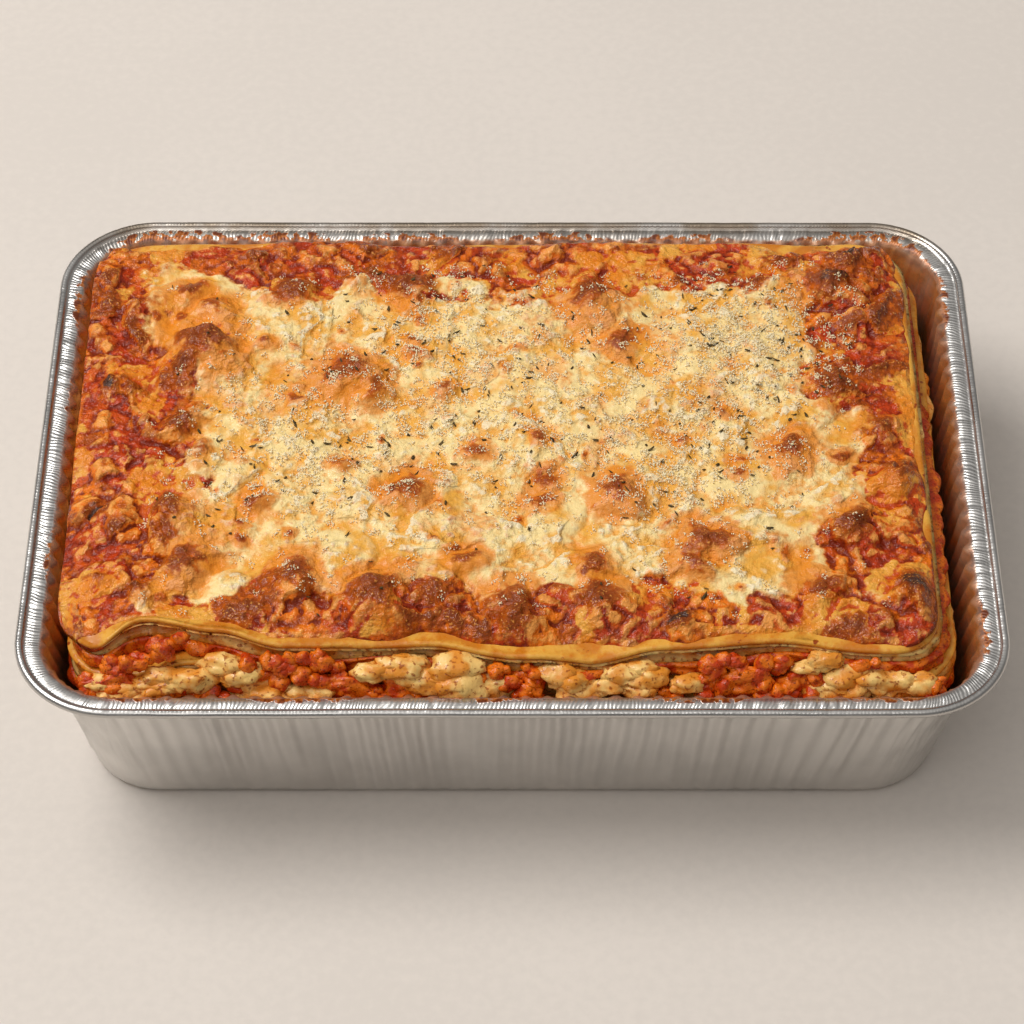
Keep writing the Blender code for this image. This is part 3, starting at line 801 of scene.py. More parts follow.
def slab(name, nodes, edges, low, high, material, line=None, rows=5, side=None, ragged=0.0, seed=0):
    """A closed layer between two surfaces.

    low and high give heights at places; side gives how far each point of the edge stands out, as a
    function of its place and its share of the height.
    """
    places, outs = food_ring(edges, 0.0, line)
    if ragged:
        places = places + outs * (ragged * noise(places, 9 * MM, seed + 90, 3))[:, None]
    insets = (14 * MM, 8 * MM, 3 * MM, 1.0 * MM)
    inner = [food_ring(edges, inset, line)[0] for inset in insets]
    rings = [at_height(within, low(within)) for within in inner]
    bottom, top = low(places), high(places)
    for row in range(rows):
        share = row / (rows - 1)
        height = bottom + (top - bottom) * share
        spot = at_height(places, height)
        bulge = side(spot, share) if side else 0.0
        moved = places + outs * np.broadcast_to(bulge, len(places))[:, None]
        rings.append(at_height(moved, height))
    rings += [at_height(within, high(within)) for within in inner[::-1]]
    obj = loft(name, rings, material)
    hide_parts(*nodes)


def round_edge(depth):
    """Side profile of a cooked sheet: a rounded, slightly swollen edge."""
    return lambda spot, share: depth * (math.sqrt(max(0.0, 1 - (2 * share - 1) ** 2)) - 1)


def lumpy_side(size, depth, seed, lean=0.0):
    """Side profile of a filling: packed lumps with hollows between them."""

    def side(spot, share):
        knob, owner, _dome = knobs(spot, size, seed)
        _knob, _owner, fine = knobs(spot, size * 0.42, seed + 3)
        swell = math.sin(math.pi * share) ** 0.5 if 0 < share < 1 else 0.0
        broad = noise(spot, 24 * MM, seed + 5)
        return swell * depth * (knob * (0.75 + 0.45 * owner) + 0.35 * fine - 0.45 + 0.7 * broad + lean)

    return side


class LASAGNE_OT_sheets(bpy.types.Operator):
    """Make the pasta sheets that run through the lasagne"""

    bl_idname = "lasagne.sheets"
    bl_label = "Pasta Sheets"

    def execute(self, context):
        for number, name in enumerate(SHEETS):
            line = {"pasta_sheet_top": FRONT_LINE, "pasta_sheet_middle": SECOND_LINE}.get(name)
            slab(
                name.replace("pasta_sheet", "sheet"),
                [name],
                plan_edges(name) if name != "pasta_sheet_top" else top_sheet_edges(),
                sheet_surface(name, -1),
                sheet_surface(name, 1),
                pasta_material(),
                line,
                rows=7,
                side=round_edge(0.8 * MM),
                ragged=0.35 * MM,
                seed=number,
            )
        return {"FINISHED"}


def top_sheet_edges():
    """The top sheet's outline before its front is drawn back."""
    left, right, front, back = plan_edges("pasta_sheet_top")
    return left, right, front + 1.6 * MM, back - 1.8 * MM


def over(surface, gap):
    return lambda places: surface(places) + gap


class LASAGNE_OT_fillings(bpy.types.Operator):
    """Make the meat and white sauces between the sheets"""

    bl_idname = "lasagne.fillings"
    bl_label = "Fillings"

    def execute(self, context):
        touch = 0.05 * MM
        lower_low = over(sheet_surface("pasta_sheet_lower", -1), -touch)
        middle_low = over(sheet_surface("pasta_sheet_middle", -1), -touch)
        middle_top = over(sheet_surface("pasta_sheet_middle", 1), touch)
        top_low = over(sheet_surface("pasta_sheet_top", -1), -touch)

        def split(places):
            low, high = middle_top(places), top_low(places)
            share = 0.58 + 0.22 * noise(places, 17 * MM, 61, 2)
            return low + (high - low) * share

        floor = TRAY_LOW.z + 30 * MM
        slab(
            "sauce_lower", ["meat_sauce_lower"], plan_edges("meat_sauce_lower"),
            lambda places: np.full(len(places), floor), lower_low, meat_material(),
            rows=9, side=lumpy_side(6.5 * MM, 1.6 * MM, 71, -0.2),
        )
        slab(
            "white_lower", ["white_sauce_lower"], plan_edges("white_sauce_lower"),
            over(sheet_surface("pasta_sheet_lower", 1), touch), middle_low, white_material(),
            rows=11, side=lumpy_side(7.5 * MM, 1.7 * MM, 72, 0.1),
        )
        slab(
            "sauce_upper", ["meat_sauce_upper"], plan_edges("meat_sauce_upper"),
            middle_top, over(split, -touch), meat_material(),
            line=FRONT_LINE, rows=11, side=lumpy_side(6.0 * MM, 2.4 * MM, 73, 0.1),
        )
        slab(
            "white_upper", ["white_sauce_upper"], plan_edges("white_sauce_upper"),
            over(split, touch), top_low, white_material(),
            line=FRONT_LINE, rows=9, side=lumpy_side(6.0 * MM, 3.4 * MM, 74, -0.80),
        )
        return {"FINISHED"}


# ------------------------------------------------------------------ topping

# Browned bubbles: X, Y, radius, height, how dark from 0 to 1
BUBBLES = (
    (-0.0710, 0.0240, 0.0105, 0.0036, 0.80),
    (-0.0750, 0.0020, 0.0062, 0.0018, 0.85),
    (-0.0690, 0.0380, 0.0055, 0.0014, 0.60),
    (-0.0760, 0.0440, 0.0045, 0.0012, 0.80),
    (-0.0510, 0.0450, 0.0055, 0.0016, 0.80),
    (-0.0380, 0.0150, 0.0085, 0.0024, 0.75),
    (-0.0310, 0.0110, 0.0050, 0.0018, 0.65),
    (-0.0240, 0.0460, 0.0060, 0.0018, 0.85),
    (-0.0160, 0.0120, 0.0030, 0.0010, 0.60),
    (-0.0220, 0.0240, 0.0025, 0.0009, 0.55),
    (0.0190, 0.0410, 0.0075, 0.0022, 0.85),
    (0.0260, 0.0270, 0.0050, 0.0014, 0.70),
    (0.0760, 0.0450, 0.0095, 0.0030, 0.95),
    (0.0800, 0.0570, 0.0050, 0.0012, 1.00),
    (0.0730, 0.0130, 0.0060, 0.0016, 0.80),
    (0.0630, -0.0070, 0.0060, 0.0018, 0.80),
    (0.0240, -0.0200, 0.0060, 0.0016, 0.85),
    (0.0080, -0.0150, 0.0040, 0.0011, 0.65),
    (0.0060, -0.0210, 0.0040, 0.0011, 0.70),
    (0.0060, -0.0040, 0.0028, 0.0008, 0.60),
    (-0.0080, -0.0070, 0.0030, 0.0009, 0.60),
    (-0.0230, -0.0200, 0.0060, 0.0016, 0.85),
    (-0.0380, -0.0110, 0.0030, 0.0010, 0.55),
    (-0.0560, -0.0220, 0.0035, 0.0011, 0.75),
    (0.0760, -0.0310, 0.0070, 0.0022, 0.85),
    (0.0450, -0.0340, 0.0062, 0.0016, 0.80),
    (0.0400, -0.0410, 0.0050, 0.0014, 0.70),
    (0.0190, -0.0410, 0.0045, 0.0012, 0.75),
    (-0.0100, -0.0400, 0.0045, 0.0012, 0.75),
    (-0.0760, -0.0250, 0.0058, 0.0016, 0.85),
    (-0.0920, -0.0250, 0.0042, 0.0010, 1.00),
    (-0.0930, 0.0130, 0.0040, 0.0010, 1.00),
    (-0.0710, -0.0400, 0.0065, 0.0016, 0.85),
    (-0.0810, -0.0470, 0.0050, 0.0014, 0.80),
    (-0.0460, -0.0450, 0.0065, 0.0020, 0.85),
    (-0.0290, -0.0520, 0.0085, 0.0026, 0.80),
    (0.0010, -0.0550, 0.0080, 0.0024, 0.80),
    (0.0200, -0.0510, 0.0060, 0.0018, 0.85),
    (0.0360, -0.0570, 0.0050, 0.0014, 1.00),
    (0.0670, -0.0470, 0.0060, 0.0018, 0.80),
    (0.0880, -0.0480, 0.0070, 0.0028, 1.00),
    (0.0840, 0.0000, 0.0060, 0.0022, 0.65),
    (0.0860, -0.0140, 0.0070, 0.0024, 0.65),
    (-0.0850, 0.0400, 0.0050, 0.0016, 0.55),
)

# The creamy middle's left, right, front and back edge, before they are made ragged
CREAMY = (-0.079, 0.073, -0.047, 0.045)

# Sizes of the lumps under the cheese, largest first
MOUND, MOUND_RISE = 12 * MM, 3.4 * MM
CHUNK = 5.2 * MM
BIT = 2.4 * MM

# Small bubbles are tried at this many places
SMALL_BUBBLES = 210

# Places at the edge of the top sheet that the topping leaves bare: X, Y, radius
BARE = (
    (-0.0870, 0.0690, 0.0090), (-0.0770, 0.0695, 0.0085), (-0.0170, 0.0710, 0.0065),
    (0.0680, 0.0690, 0.0080), (0.0760, 0.0685, 0.0060),
)

# Patches of bare meat sauce between the cheese: X, Y, radius
SAUCY = (
    (-0.0350, -0.0535, 0.0065), (0.0100, -0.0500, 0.0050), (0.0040, -0.0575, 0.0045),
    (0.0240, -0.0565, 0.0070), (0.0840, -0.0565, 0.0080), (-0.0580, -0.0545, 0.0055),
    (0.0560, -0.0520, 0.0060), (-0.0860, -0.0060, 0.0070), (0.0840, 0.0250, 0.0070),
    (-0.0900, 0.0280, 0.0060), (0.0480, 0.0560, 0.0060), (-0.0620, 0.0560, 0.0060),
)


def rounded_grid(u, v, edges, corner):
    """Maps a square grid from -1 to 1 on to a rounded rectangle."""
    left, right, front, back = edges
    half = np.array(((right - left) / 2, (back - front) / 2))
    flat = np.stack([u * half[0], v * half[1]], axis=-1)
    size = np.abs(flat)
    beyond = np.clip((size - (half - corner)) / corner, 0, 1)
    bent = np.stack(
        [
            beyond[..., 0] * np.sqrt(1 - beyond[..., 1] ** 2 / 2),
            beyond[..., 1] * np.sqrt(1 - beyond[..., 0] ** 2 / 2),
        ],
        axis=-1,
    )
    size = np.minimum(size, half - corner) + bent * corner
    return np.sign(flat) * size + ((left + right) / 2, (front + back) / 2)


def swirls(places, size, *seeds):
    """A noise for each seed, side by side, to shift places by."""
    return np.column_stack([noise(places, size, seed, 2) for seed in seeds])


class Topping:
    """Heights and colour masks of the baked cheese at any places on the top sheet."""

    def __init__(self, food):
        self.food = food
        self.edges = top_sheet_edges()
        self.surface = sheet_surface("pasta_sheet_top", 1)
        draw = random.Random(11)
        small = []
        for _ in range(SMALL_BUBBLES):
            x = draw.uniform(self.edges[0] + 4 * MM, self.edges[1] - 4 * MM)
            y = draw.uniform(self.edges[2] + 5 * MM, self.edges[3] - 4 * MM)
            outer = abs(x) > 0.07 or abs(y) > 0.045
            radius = draw.uniform(0.9, 2.6) * MM * (1.25 if outer else 0.8)
            bubble = (x, y, radius, radius * draw.uniform(0.15, 0.34), draw.uniform(0.25, 0.85))
            if outer or draw.random() < 0.40:
                small.append(bubble)
        self.bubbles = BUBBLES + tuple(small)

    def at(self, places):
        """Heights over the sheet, and the masks that the material reads."""
        x, y = places[:, 0], places[:, 1]
        broad = swirls(places, 15 * MM, 50, 49)
        warped = places + broad * 2.2 * MM + swirls(places, 6.5 * MM, 51, 52) * 1.9 * MM
        bent = warped + swirls(places, 2.2 * MM, 53, 54) * 0.7 * MM

        zone = inside_by(places, CREAMY)
        ragged = 15 * MM * noise(places, 17 * MM, 55, 3) + 4 * MM * noise(places, 4.0 * MM, 64, 2)
        cream = smooth(-3 * MM, 4 * MM, zone + ragged)
        melt = smooth(0.02, 0.30, noise(bent, 9 * MM, 73, 3))
        saucy = np.zeros(len(x))
        for sx, sy, reach in SAUCY:
            away = np.hypot(warped[:, 0] - sx, (warped[:, 1] - sy) * 1.3)
            saucy = np.maximum(saucy, smooth(1.25, 0.75, away / reach))
        melt *= 1 - saucy
        cream *= 1 - 0.9 * saucy
        calm = smooth(-0.12, 0.22, noise(bent, 8 * MM, 76, 2)) * cream
        thick = 1.0 * MM + (self.food.cheese - 1.0 * MM) * cream
        height = thick * (1 + 0.2 * noise(places, 10 * MM, 56, 2)) + 1.1 * MM * noise(places, 26 * MM, 57)

        _knob, mound_owner, mound = knobs(warped, MOUND, 58)
        chunk, chunk_owner, chunk_dome = knobs(bent, CHUNK, 65)
        bit, _owner, bit_dome = knobs(bent, BIT, 66)
        mound = mound * (0.60 + 0.40 * mound_owner)
        chunk_height = chunk_dome * (0.70 + 0.30 * chunk_owner)
        lumpy = (1 - cream) * (1 - 0.75 * melt)
        height += MOUND_RISE * (mound - 0.35) * (1 - 0.45 * cream) * (1 - 0.40 * melt * (1 - cream))
        height += (0.5 + 2.2 * lumpy) * MM * (chunk_height - 0.5)
        height += (0.30 + 0.55 * lumpy) * MM * (bit_dome - 0.5) * (1 - 0.8 * calm)
        height += 0.42 * MM * noise(places, 1.9 * MM, 59, 2) * (1 - 0.75 * calm)
        height += 0.9 * MM * cream * noise(warped, 7 * MM, 72, 3)

        rise, toast, halo, char = (np.zeros(len(x)) for _ in range(4))
        uneven = noise(bent, 4.5 * MM, 70, 2)
        speckle = noise(bent, 1.9 * MM, 71, 2)
        for number, (bx, by, radius, lift, dark) in enumerate(self.bubbles):
            near = (np.abs(x - bx) < radius * 2.4 + 5 * MM) & (np.abs(y - by) < radius * 2.4 + 5 * MM)
            angle, stretch = number * 2.4, 1.0 + 0.32 * math.sin(number * 5.1)
            turn = np.array([[math.cos(angle), -math.sin(angle)], [math.sin(angle), math.cos(angle)]])
            offset = warped[near] - broad[near] * 2.2 * MM - (bx, by)
            away = np.hypot(*(offset @ turn / (radius * stretch, radius / stretch)).T)
            away = away * (1 + 0.30 * uneven[near])
            top = np.hypot(*((offset - (-0.1 * radius, 0.28 * radius)) @ turn / radius).T)
            rough = top * (1 + 0.30 * uneven[near]) + 0.26 * speckle[near]
            rise[near] = np.maximum(rise[near], 1.6 * lift * smooth(1.30, 0.10, away))
            toast[near] = np.maximum(toast[near], dark * smooth(1.10, 0.20, rough))
            spill = (0.35 + 0.65 * dark) * (0.35 + 0.65 * cream[near])
            halo[near] = np.maximum(halo[near], smooth(1.9, 0.85, rough) * spill)
            char[near] = np.maximum(char[near], smooth(0.70, 0.20, rough) * smooth(0.86, 1.0, dark))
        height += rise
        peak = 0.55 * mound + 0.30 * chunk_height + 0.15 * bit_dome + 0.22 * noise(places, 8 * MM, 67, 2)
        crust = smooth(0.52, 0.88, peak + 0.12 * speckle) * (1 - 0.75 * cream)
        toast = np.maximum(toast, 0.90 * crust)
        gilt = smooth(0.05, 0.50, noise(bent, 9 * MM, 68, 3) + 0.35 * mound - 0.15)
        halo = np.maximum(halo, 0.52 * gilt * cream)
        # Painted shade in the hollows between lumps of sauce, where the meat colour is laid on.
        valley = smooth(0.60, 0.10, 0.6 * chunk + 0.4 * bit)

        least = 0.45 * MM + 0.25 * MM * bit_dome
        height = least + np.logaddexp(0.0, (height - least) / (0.4 * MM)) * 0.4 * MM

        edge, front = inside_by(places, self.edges), self.edges[2]
        back_line, _lift = eased_line(FRONT_LINE, x)
        edge = np.minimum(edge, y - front - back_line)
        brim = 1.0 * MM + 1.6 * MM * noise(places, 9 * MM, 62, 3)
        brim += 2.2 * MM * smooth(-0.050, -0.058, y) * (0.6 + noise(places, 17 * MM, 74, 2))
        brim -= 3.0 * MM * smooth(-0.086, -0.094, x) * smooth(-0.052, -0.046, y)
        shrink = smooth(-1 * MM, 5 * MM, edge - brim) ** 0.6
        height = np.where(edge < 8 * MM, height * shrink, height)
        height -= 1.2 * MM * smooth(0.5 * MM, -1.4 * MM, edge - brim)
        for bx, by, radius in BARE:
            away = np.hypot(warped[:, 0] - bx, warped[:, 1] - by) - radius
            height -= (height + 1.0 * MM) * smooth(1.2 * MM, -0.8 * MM, away)
        oil = smooth(0.0, 0.5, noise(places, 8 * MM, 63, 3))
        masks = {"cream": cream, "toast": toast, "halo": halo, "char": char, "oil": oil,
                 "valley": valley * lumpy, "melt": melt, "calm": calm,
                 "piece": (0.5 + 0.5 * chunk_owner) * (1 - 0.6 * saucy)}
        return height, masks

    def surface_height(self, places):
        height, masks = self.at(places)
        return self.surface(places) + height, masks


def cheese_material():
    """Baked cheese: cream in the middle, sauce-red towards the edge, browned on its bubbles, with painted
    highlights on its crests and painted shade in its hollows.
    """
    colours = settings("colours")
    material, tree, shader = new_material("Baked Cheese", IOR=1.37, Coat_Weight=0.05, Coat_Roughness=0.20)
    place = node(tree, "TexCoord").outputs["Object"]
    broad = grain_at(place, 130.0, 3.0)
    fine = grain_at(place, 620.0, 3.0)
    tiny = grain_at(place, 1700.0, 1.0)
    cell = node(tree, "TexVoronoi", {"Vector": place, "Scale": 520.0}, feature="F1").outputs["Distance"]
    names = ("cream", "melt", "calm", "halo", "toast", "char", "oil", "valley", "piece", "crest", "brow")
    cream, melt, calm, halo_share, toast_share, char_share, oil, valley, piece, crest, brow = (
        values_of(tree, name) for name in names
    )

    def jagged(value, low, high):
        """A mask with its edge broken up by fine grain."""
        grain = times(minus(fine, 0.5), 0.9)
        return step_between(plus(value, grain), low, high)

    def dabbed(under, value, low, high, share, dab):
        """A colour with another dabbed over it, up to a share, as a value goes from low to high."""
        return mix(times(jagged(value, low, high), share), under, dab)

    middle = mix(step_between(broad, 0.38, 0.56), colours.gold, colours.cream)
    middle = dabbed(middle, brow, 0.62, 1.0, 0.65, colours.gold)
    middle = dabbed(middle, brow, 0.48, 0.10, 0.80, colours.amber)
    crisp = step_between(calm, 0.1, 0.9, 1.0, 0.25)
    # Painted shade: gold in the cream's fine hollows. The crumb colour on the crests is partly grated
    # cheese and partly painted highlight.
    middle = dabbed(middle, crest, 0.42, 0.10, times(crisp, 0.75), colours.gold)
    middle = dabbed(middle, crest, 0.56, 0.78, times(crisp, 0.80), colours.crumb_and_highlight)
    red = mix(step_between(piece, 0.15, 0.75), colours.sauce, colours.orange)
    # Painted highlight: peach on the sauce's fine crests. Painted shade: meat colour in its fine hollows.
    red = dabbed(red, crest, 0.55, 0.85, 0.80, colours.peach_highlight)
    red = dabbed(red, crest, 0.44, 0.12, 0.90, colours.meat)
    # Painted shade: meat colour in the hollows between the lumps.
    red = mix(times(valley, 0.75), red, colours.meat)
    melted = mix(step_between(broad, 0.42, 0.62), colours.amber, colours.gold)
    # Painted shade: sauce colour in the fine hollows of the melted patches.
    melted = dabbed(melted, crest, 0.46, 0.18, 0.9, colours.sauce)
    melted = dabbed(melted, brow, 0.62, 1.0, 0.7, colours.rust)
    red = dabbed(red, melt, 0.35, 0.75, 0.9, melted)
    base = mix(jagged(cream, 0.30, 0.72), red, middle)
    base = dabbed(base, halo_share, 0.25, 0.80, 0.85, colours.amber)
    brown = mix(step_between(fine, 0.42, 0.68), colours.toast, colours.rust)
    base = mix(jagged(toast_share, 0.22, 0.60), base, brown)
    deep = times(jagged(toast_share, 0.42, 0.85), step_between(brow, 0.42, 0.85))
    base = mix(times(deep, 0.62), base, colours.scorch)
    base = mix(jagged(char_share, 0.45, 0.90), base, colours.char)
    # Painted highlight: small peach glints on the crests.
    glint = times(step_between(tiny, 0.60, 0.70), step_between(crest, 0.45, 0.75))
    base = mix(times(glint, 0.65), base, colours.peach_highlight)
    feed(shader.inputs["Base Color"], base)

    wet = larger(times(oil, 0.8), step_between(fine, 0.50, 0.60))
    rough = step_between(cream, 0.0, 1.0, 0.25, 0.50)
    for value, share in ((calm, 0.14), (wet, 0.14), (toast_share, 0.08)):
        rough = minus(rough, times(value, share))
    feed(shader.inputs["Roughness"], rough)
    height = plus(times(fine, 1.1), times(tiny, 0.4))
    height = plus(height, times(cell, 0.9))
    height = times(height, step_between(calm, 0.0, 1.0, 1.0, 0.50))
    roughen(shader, height, 0.95, 0.7 * MM)
    return material


class LASAGNE_OT_topping(bpy.types.Operator):
    """Make the baked cheese with its browned bubbles"""

    bl_idname = "lasagne.topping"
    bl_label = "Cheese Topping"

    def execute(self, context):
        food = settings("food")
        topping = Topping(food)
        left, right, front, back = topping.edges
        inner = (left - 0.9 * MM, right - 0.5 * MM, front + 0.5 * MM, back - 0.5 * MM)
        across = int((right - left) / food.grain)
        along = int((back - front) / food.grain)
        u, v = np.meshgrid(np.linspace(-1, 1, across), np.linspace(-1, 1, along))
        places = rounded_grid(u, v, inner, food.corner).reshape(-1, 2)
        back_line, _lift = eased_line(FRONT_LINE, places[:, 0])
        places[:, 1] += back_line * smooth(0.35, 1.0, -v.reshape(-1))
        height, masks = topping.surface_height(places)
        points = at_height(places, height)
        grid = height.reshape(along, across)
        # Fine crests and hollows of the topping: the material paints highlights on the crests and shade in
        # the hollows.
        masks["crest"] = np.clip(0.5 + (grid - blurred(grid, 10)).ravel() / (0.9 * MM), 0, 1)
        masks["brow"] = np.clip(0.5 + (grid - blurred(grid, 70)).ravel() / (2.6 * MM), 0, 1)

        index = np.arange(along * across).reshape(along, across)
        quads = np.stack([index[:-1, :-1], index[:-1, 1:], index[1:, 1:], index[1:, :-1]], axis=-1)
        faces = quads.reshape(-1, 4).tolist()
        rim = np.concatenate([index[0, :-1], index[:-1, -1], index[-1, :0:-1], index[:0:-1, 0]])
        skirt = points[rim] - (0, 0, 1.2 * MM)
        foot = len(points) + np.arange(len(rim))
        faces += np.column_stack([np.roll(rim, -1), rim, foot, np.roll(foot, -1)]).tolist()
        faces.append(foot[::-1].tolist())
        obj = mesh_object("cheese", np.concatenate([points, skirt]), faces, cheese_material())
        for name, values in masks.items():
            add_values(obj, name, np.concatenate([values, values[rim]]))
        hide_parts("cheese_topping")
        return {"FINISHED"}


# ------------------------------------------------------------------ lumps and scattered bits

def blob_points(detail):
    """Points and triangles of a ball of radius 1."""
    bm = bmesh.new()
    bmesh.ops.create_icosphere(bm, subdivisions=detail, radius=1.0)
    points = np.array([vertex.co[:] for vertex in bm.verts])
    faces = np.array([[vertex.index for vertex in face.verts] for face in bm.faces])
    bm.free()
    return points, faces


def knobbly(ball, size, seed, rough):
    """A ball made uneven and stretched to half sizes along X, Y and Z."""
    shift = np.array((seed * 3.7, seed * 1.3, seed * 0.7))
    swell = 1 + rough * noise(ball + shift, 0.9, seed, 2)
    swell += 0.4 * rough * noise(ball + shift, 0.35, seed + 1)
    return ball * swell[:, None] * size


def turned(points, draw):
    """Points turned to a random direction."""
    turn = Euler([draw.uniform(0, 2 * math.pi) for _ in range(3)]).to_matrix()
    return points @ np.array(turn).T


class LASAGNE_OT_lumps(bpy.types.Operator):
    """Make the lumps of meat and white sauce that hang between the layers and the wall"""

    bl_idname = "lasagne.lumps"
    bl_label = "Lumps"

    def execute(self, context):
        ball, faces = blob_points(5)
        nodes = sorted(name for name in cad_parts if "_lump_" in name)
        for number, name in enumerate(nodes):
            low, high = (np.array(corner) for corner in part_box(name))
            centre, half = (low + high) / 2, (high - low) / 2
            meaty = name.startswith("meat")
            deeper = np.array((0, 0.9 * MM, 0))
            size = half * (1.18, 1.0, 1.15) + deeper
            points = knobbly(ball, size, 200 + number, 0.45) + centre + deeper
            material = meat_material() if meaty else white_material()
            obj = mesh_object(name.replace("sauce_", ""), points, faces.tolist(), material)
            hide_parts(name)
        return {"FINISHED"}


def joined(name, shapes, material):
    """One piece from many small closed shapes, each a pair of points and faces."""
    points, faces, start = [], [], 0
    for shape_points, shape_faces in shapes:
        points.append(shape_points)
        faces += (shape_faces + start).tolist()
        start += len(shape_points)
    obj = mesh_object(name, np.concatenate(points), faces, material)


# Top and foot of the heaps on the front: how far behind the stack's front edge, height
FRONT_SLOPE = ((0.1 * MM, 48.0 * MM), (-4.8 * MM, 39.6 * MM))

# Clusters on the front: X from, X to, how far down from the top sheet from and to (0 to 1), bits, size
MEAT_CLUSTERS = (
    (-0.0880, -0.0780, 0.05, 0.40, 10, 2.3 * MM),
    (-0.0770, -0.0690, -0.35, 0.05, 8, 2.1 * MM),
    (-0.0930, -0.0880, 0.50, 0.95, 7, 2.0 * MM),
    (-0.0750, -0.0590, 0.80, 1.00, 12, 1.9 * MM),
    (-0.0575, -0.0370, 0.00, 0.62, 26, 2.4 * MM),
    (-0.0370, -0.0200, 0.62, 1.00, 14, 2.0 * MM),
    (-0.0075, 0.0065, 0.25, 1.00, 18, 2.3 * MM),
    (0.0255, 0.0360, 0.82, 1.00, 7, 1.7 * MM),
    (0.0410, 0.0660, 0.12, 0.98, 34, 2.5 * MM),
    (0.0720, 0.0780, 0.10, 0.35, 5, 1.7 * MM),
    (0.0880, 0.0930, 0.55, 0.95, 6, 1.8 * MM),
)
WHITE_CLUSTERS = (
    (-0.0900, -0.0780, 0.55, 0.98, 7, 3.4 * MM),
    (-0.0780, -0.0670, 0.40, 0.75, 5, 3.8 * MM),
    (-0.0670, -0.0570, 0.25, 0.62, 5, 3.4 * MM),
    (-0.0580, -0.0380, 0.78, 0.98, 7, 2.8 * MM),
    (-0.0320, -0.0250, 0.10, 0.50, 4, 3.2 * MM),
    (-0.0240, -0.0090, 0.10, 0.85, 9, 4.2 * MM),
    (0.0080, 0.0220, 0.40, 0.90, 7, 3.6 * MM),
    (0.0230, 0.0390, 0.30, 0.80, 7, 3.4 * MM),
    (0.0630, 0.0710, 0.02, 0.35, 4, 2.8 * MM),
    (0.0670, 0.0820, 0.50, 0.98, 8, 3.6 * MM),
    (0.0820, 0.0900, 0.40, 0.85, 5, 2.9 * MM),
)


class LASAGNE_OT_mince(bpy.types.Operator):
    """Heap crumbs of meat and lumps of white sauce on the front of the food"""

    bl_idname = "lasagne.mince"
    bl_label = "Mince"

    def execute(self, context):
        draw = random.Random(5)
        ball, faces = blob_points(3)
        top, foot = (np.array((STACK[2] + out, height)) for out, height in FRONT_SLOPE)

        def heap(clusters, seed, wide, squash, rough):
            shapes = []
            for left, right, high, low, count, size in clusters:
                for number in range(count):
                    share = high + (low - high) * (number + draw.random()) / count
                    y, z = top + (foot - top) * share
                    x = draw.uniform(left, right)
                    y += draw.uniform(-0.3, 0.9) * MM
                    stretch = np.array([draw.uniform(*wide), draw.uniform(0.7, 1.0), draw.uniform(*squash)])
                    stretch *= size * draw.uniform(0.6, 1.05)
                    seed += 1
                    shapes.append((knobbly(ball, stretch, seed, rough) + (x, y, z), faces))
            return shapes

        meat = heap(MEAT_CLUSTERS, 300, (0.8, 1.15), (0.7, 1.0), 0.40)
        joined("mince", meat, meat_material())
        white = heap(WHITE_CLUSTERS, 900, (1.1, 1.7), (0.5, 0.8), 0.50)
        joined("sauce_bits", white, white_material())
        return {"FINISHED"}


CLUMPS = 1900
GRAINS = 12  # grains in a clump
GRAIN_SHAPES = 60
HERBS = 330
CRUMBS_WITHIN = (82 * MM, 54 * MM)  # half length and width of the place they fall on

# Where the grated cheese lies thickest, the last two wide and even: X, Y, spread
CHEESE_HEAPS = (
    (0.052, 0.020, 0.013), (0.040, -0.010, 0.013), (-0.045, -0.008, 0.016), (0.005, 0.010, 0.020),
    (-0.015, 0.030, 0.018), (0.055, 0.035, 0.012), (0.0, 0.0, 0.045), (0.0, 0.0, 0.045),
)

# A grain's points and sides, those of two pyramids set base to base
GRAIN = np.array([(1, 0, 0), (0, 1, 0), (-1, 0, 0), (0, -1, 0), (0, 0, 1), (0, 0, -1)], float)
GRAIN_SIDES = np.array(
    [(k, (k + 1) % 4, 4) for k in range(4)] + [((k + 1) % 4, k, 5) for k in range(4)]
)


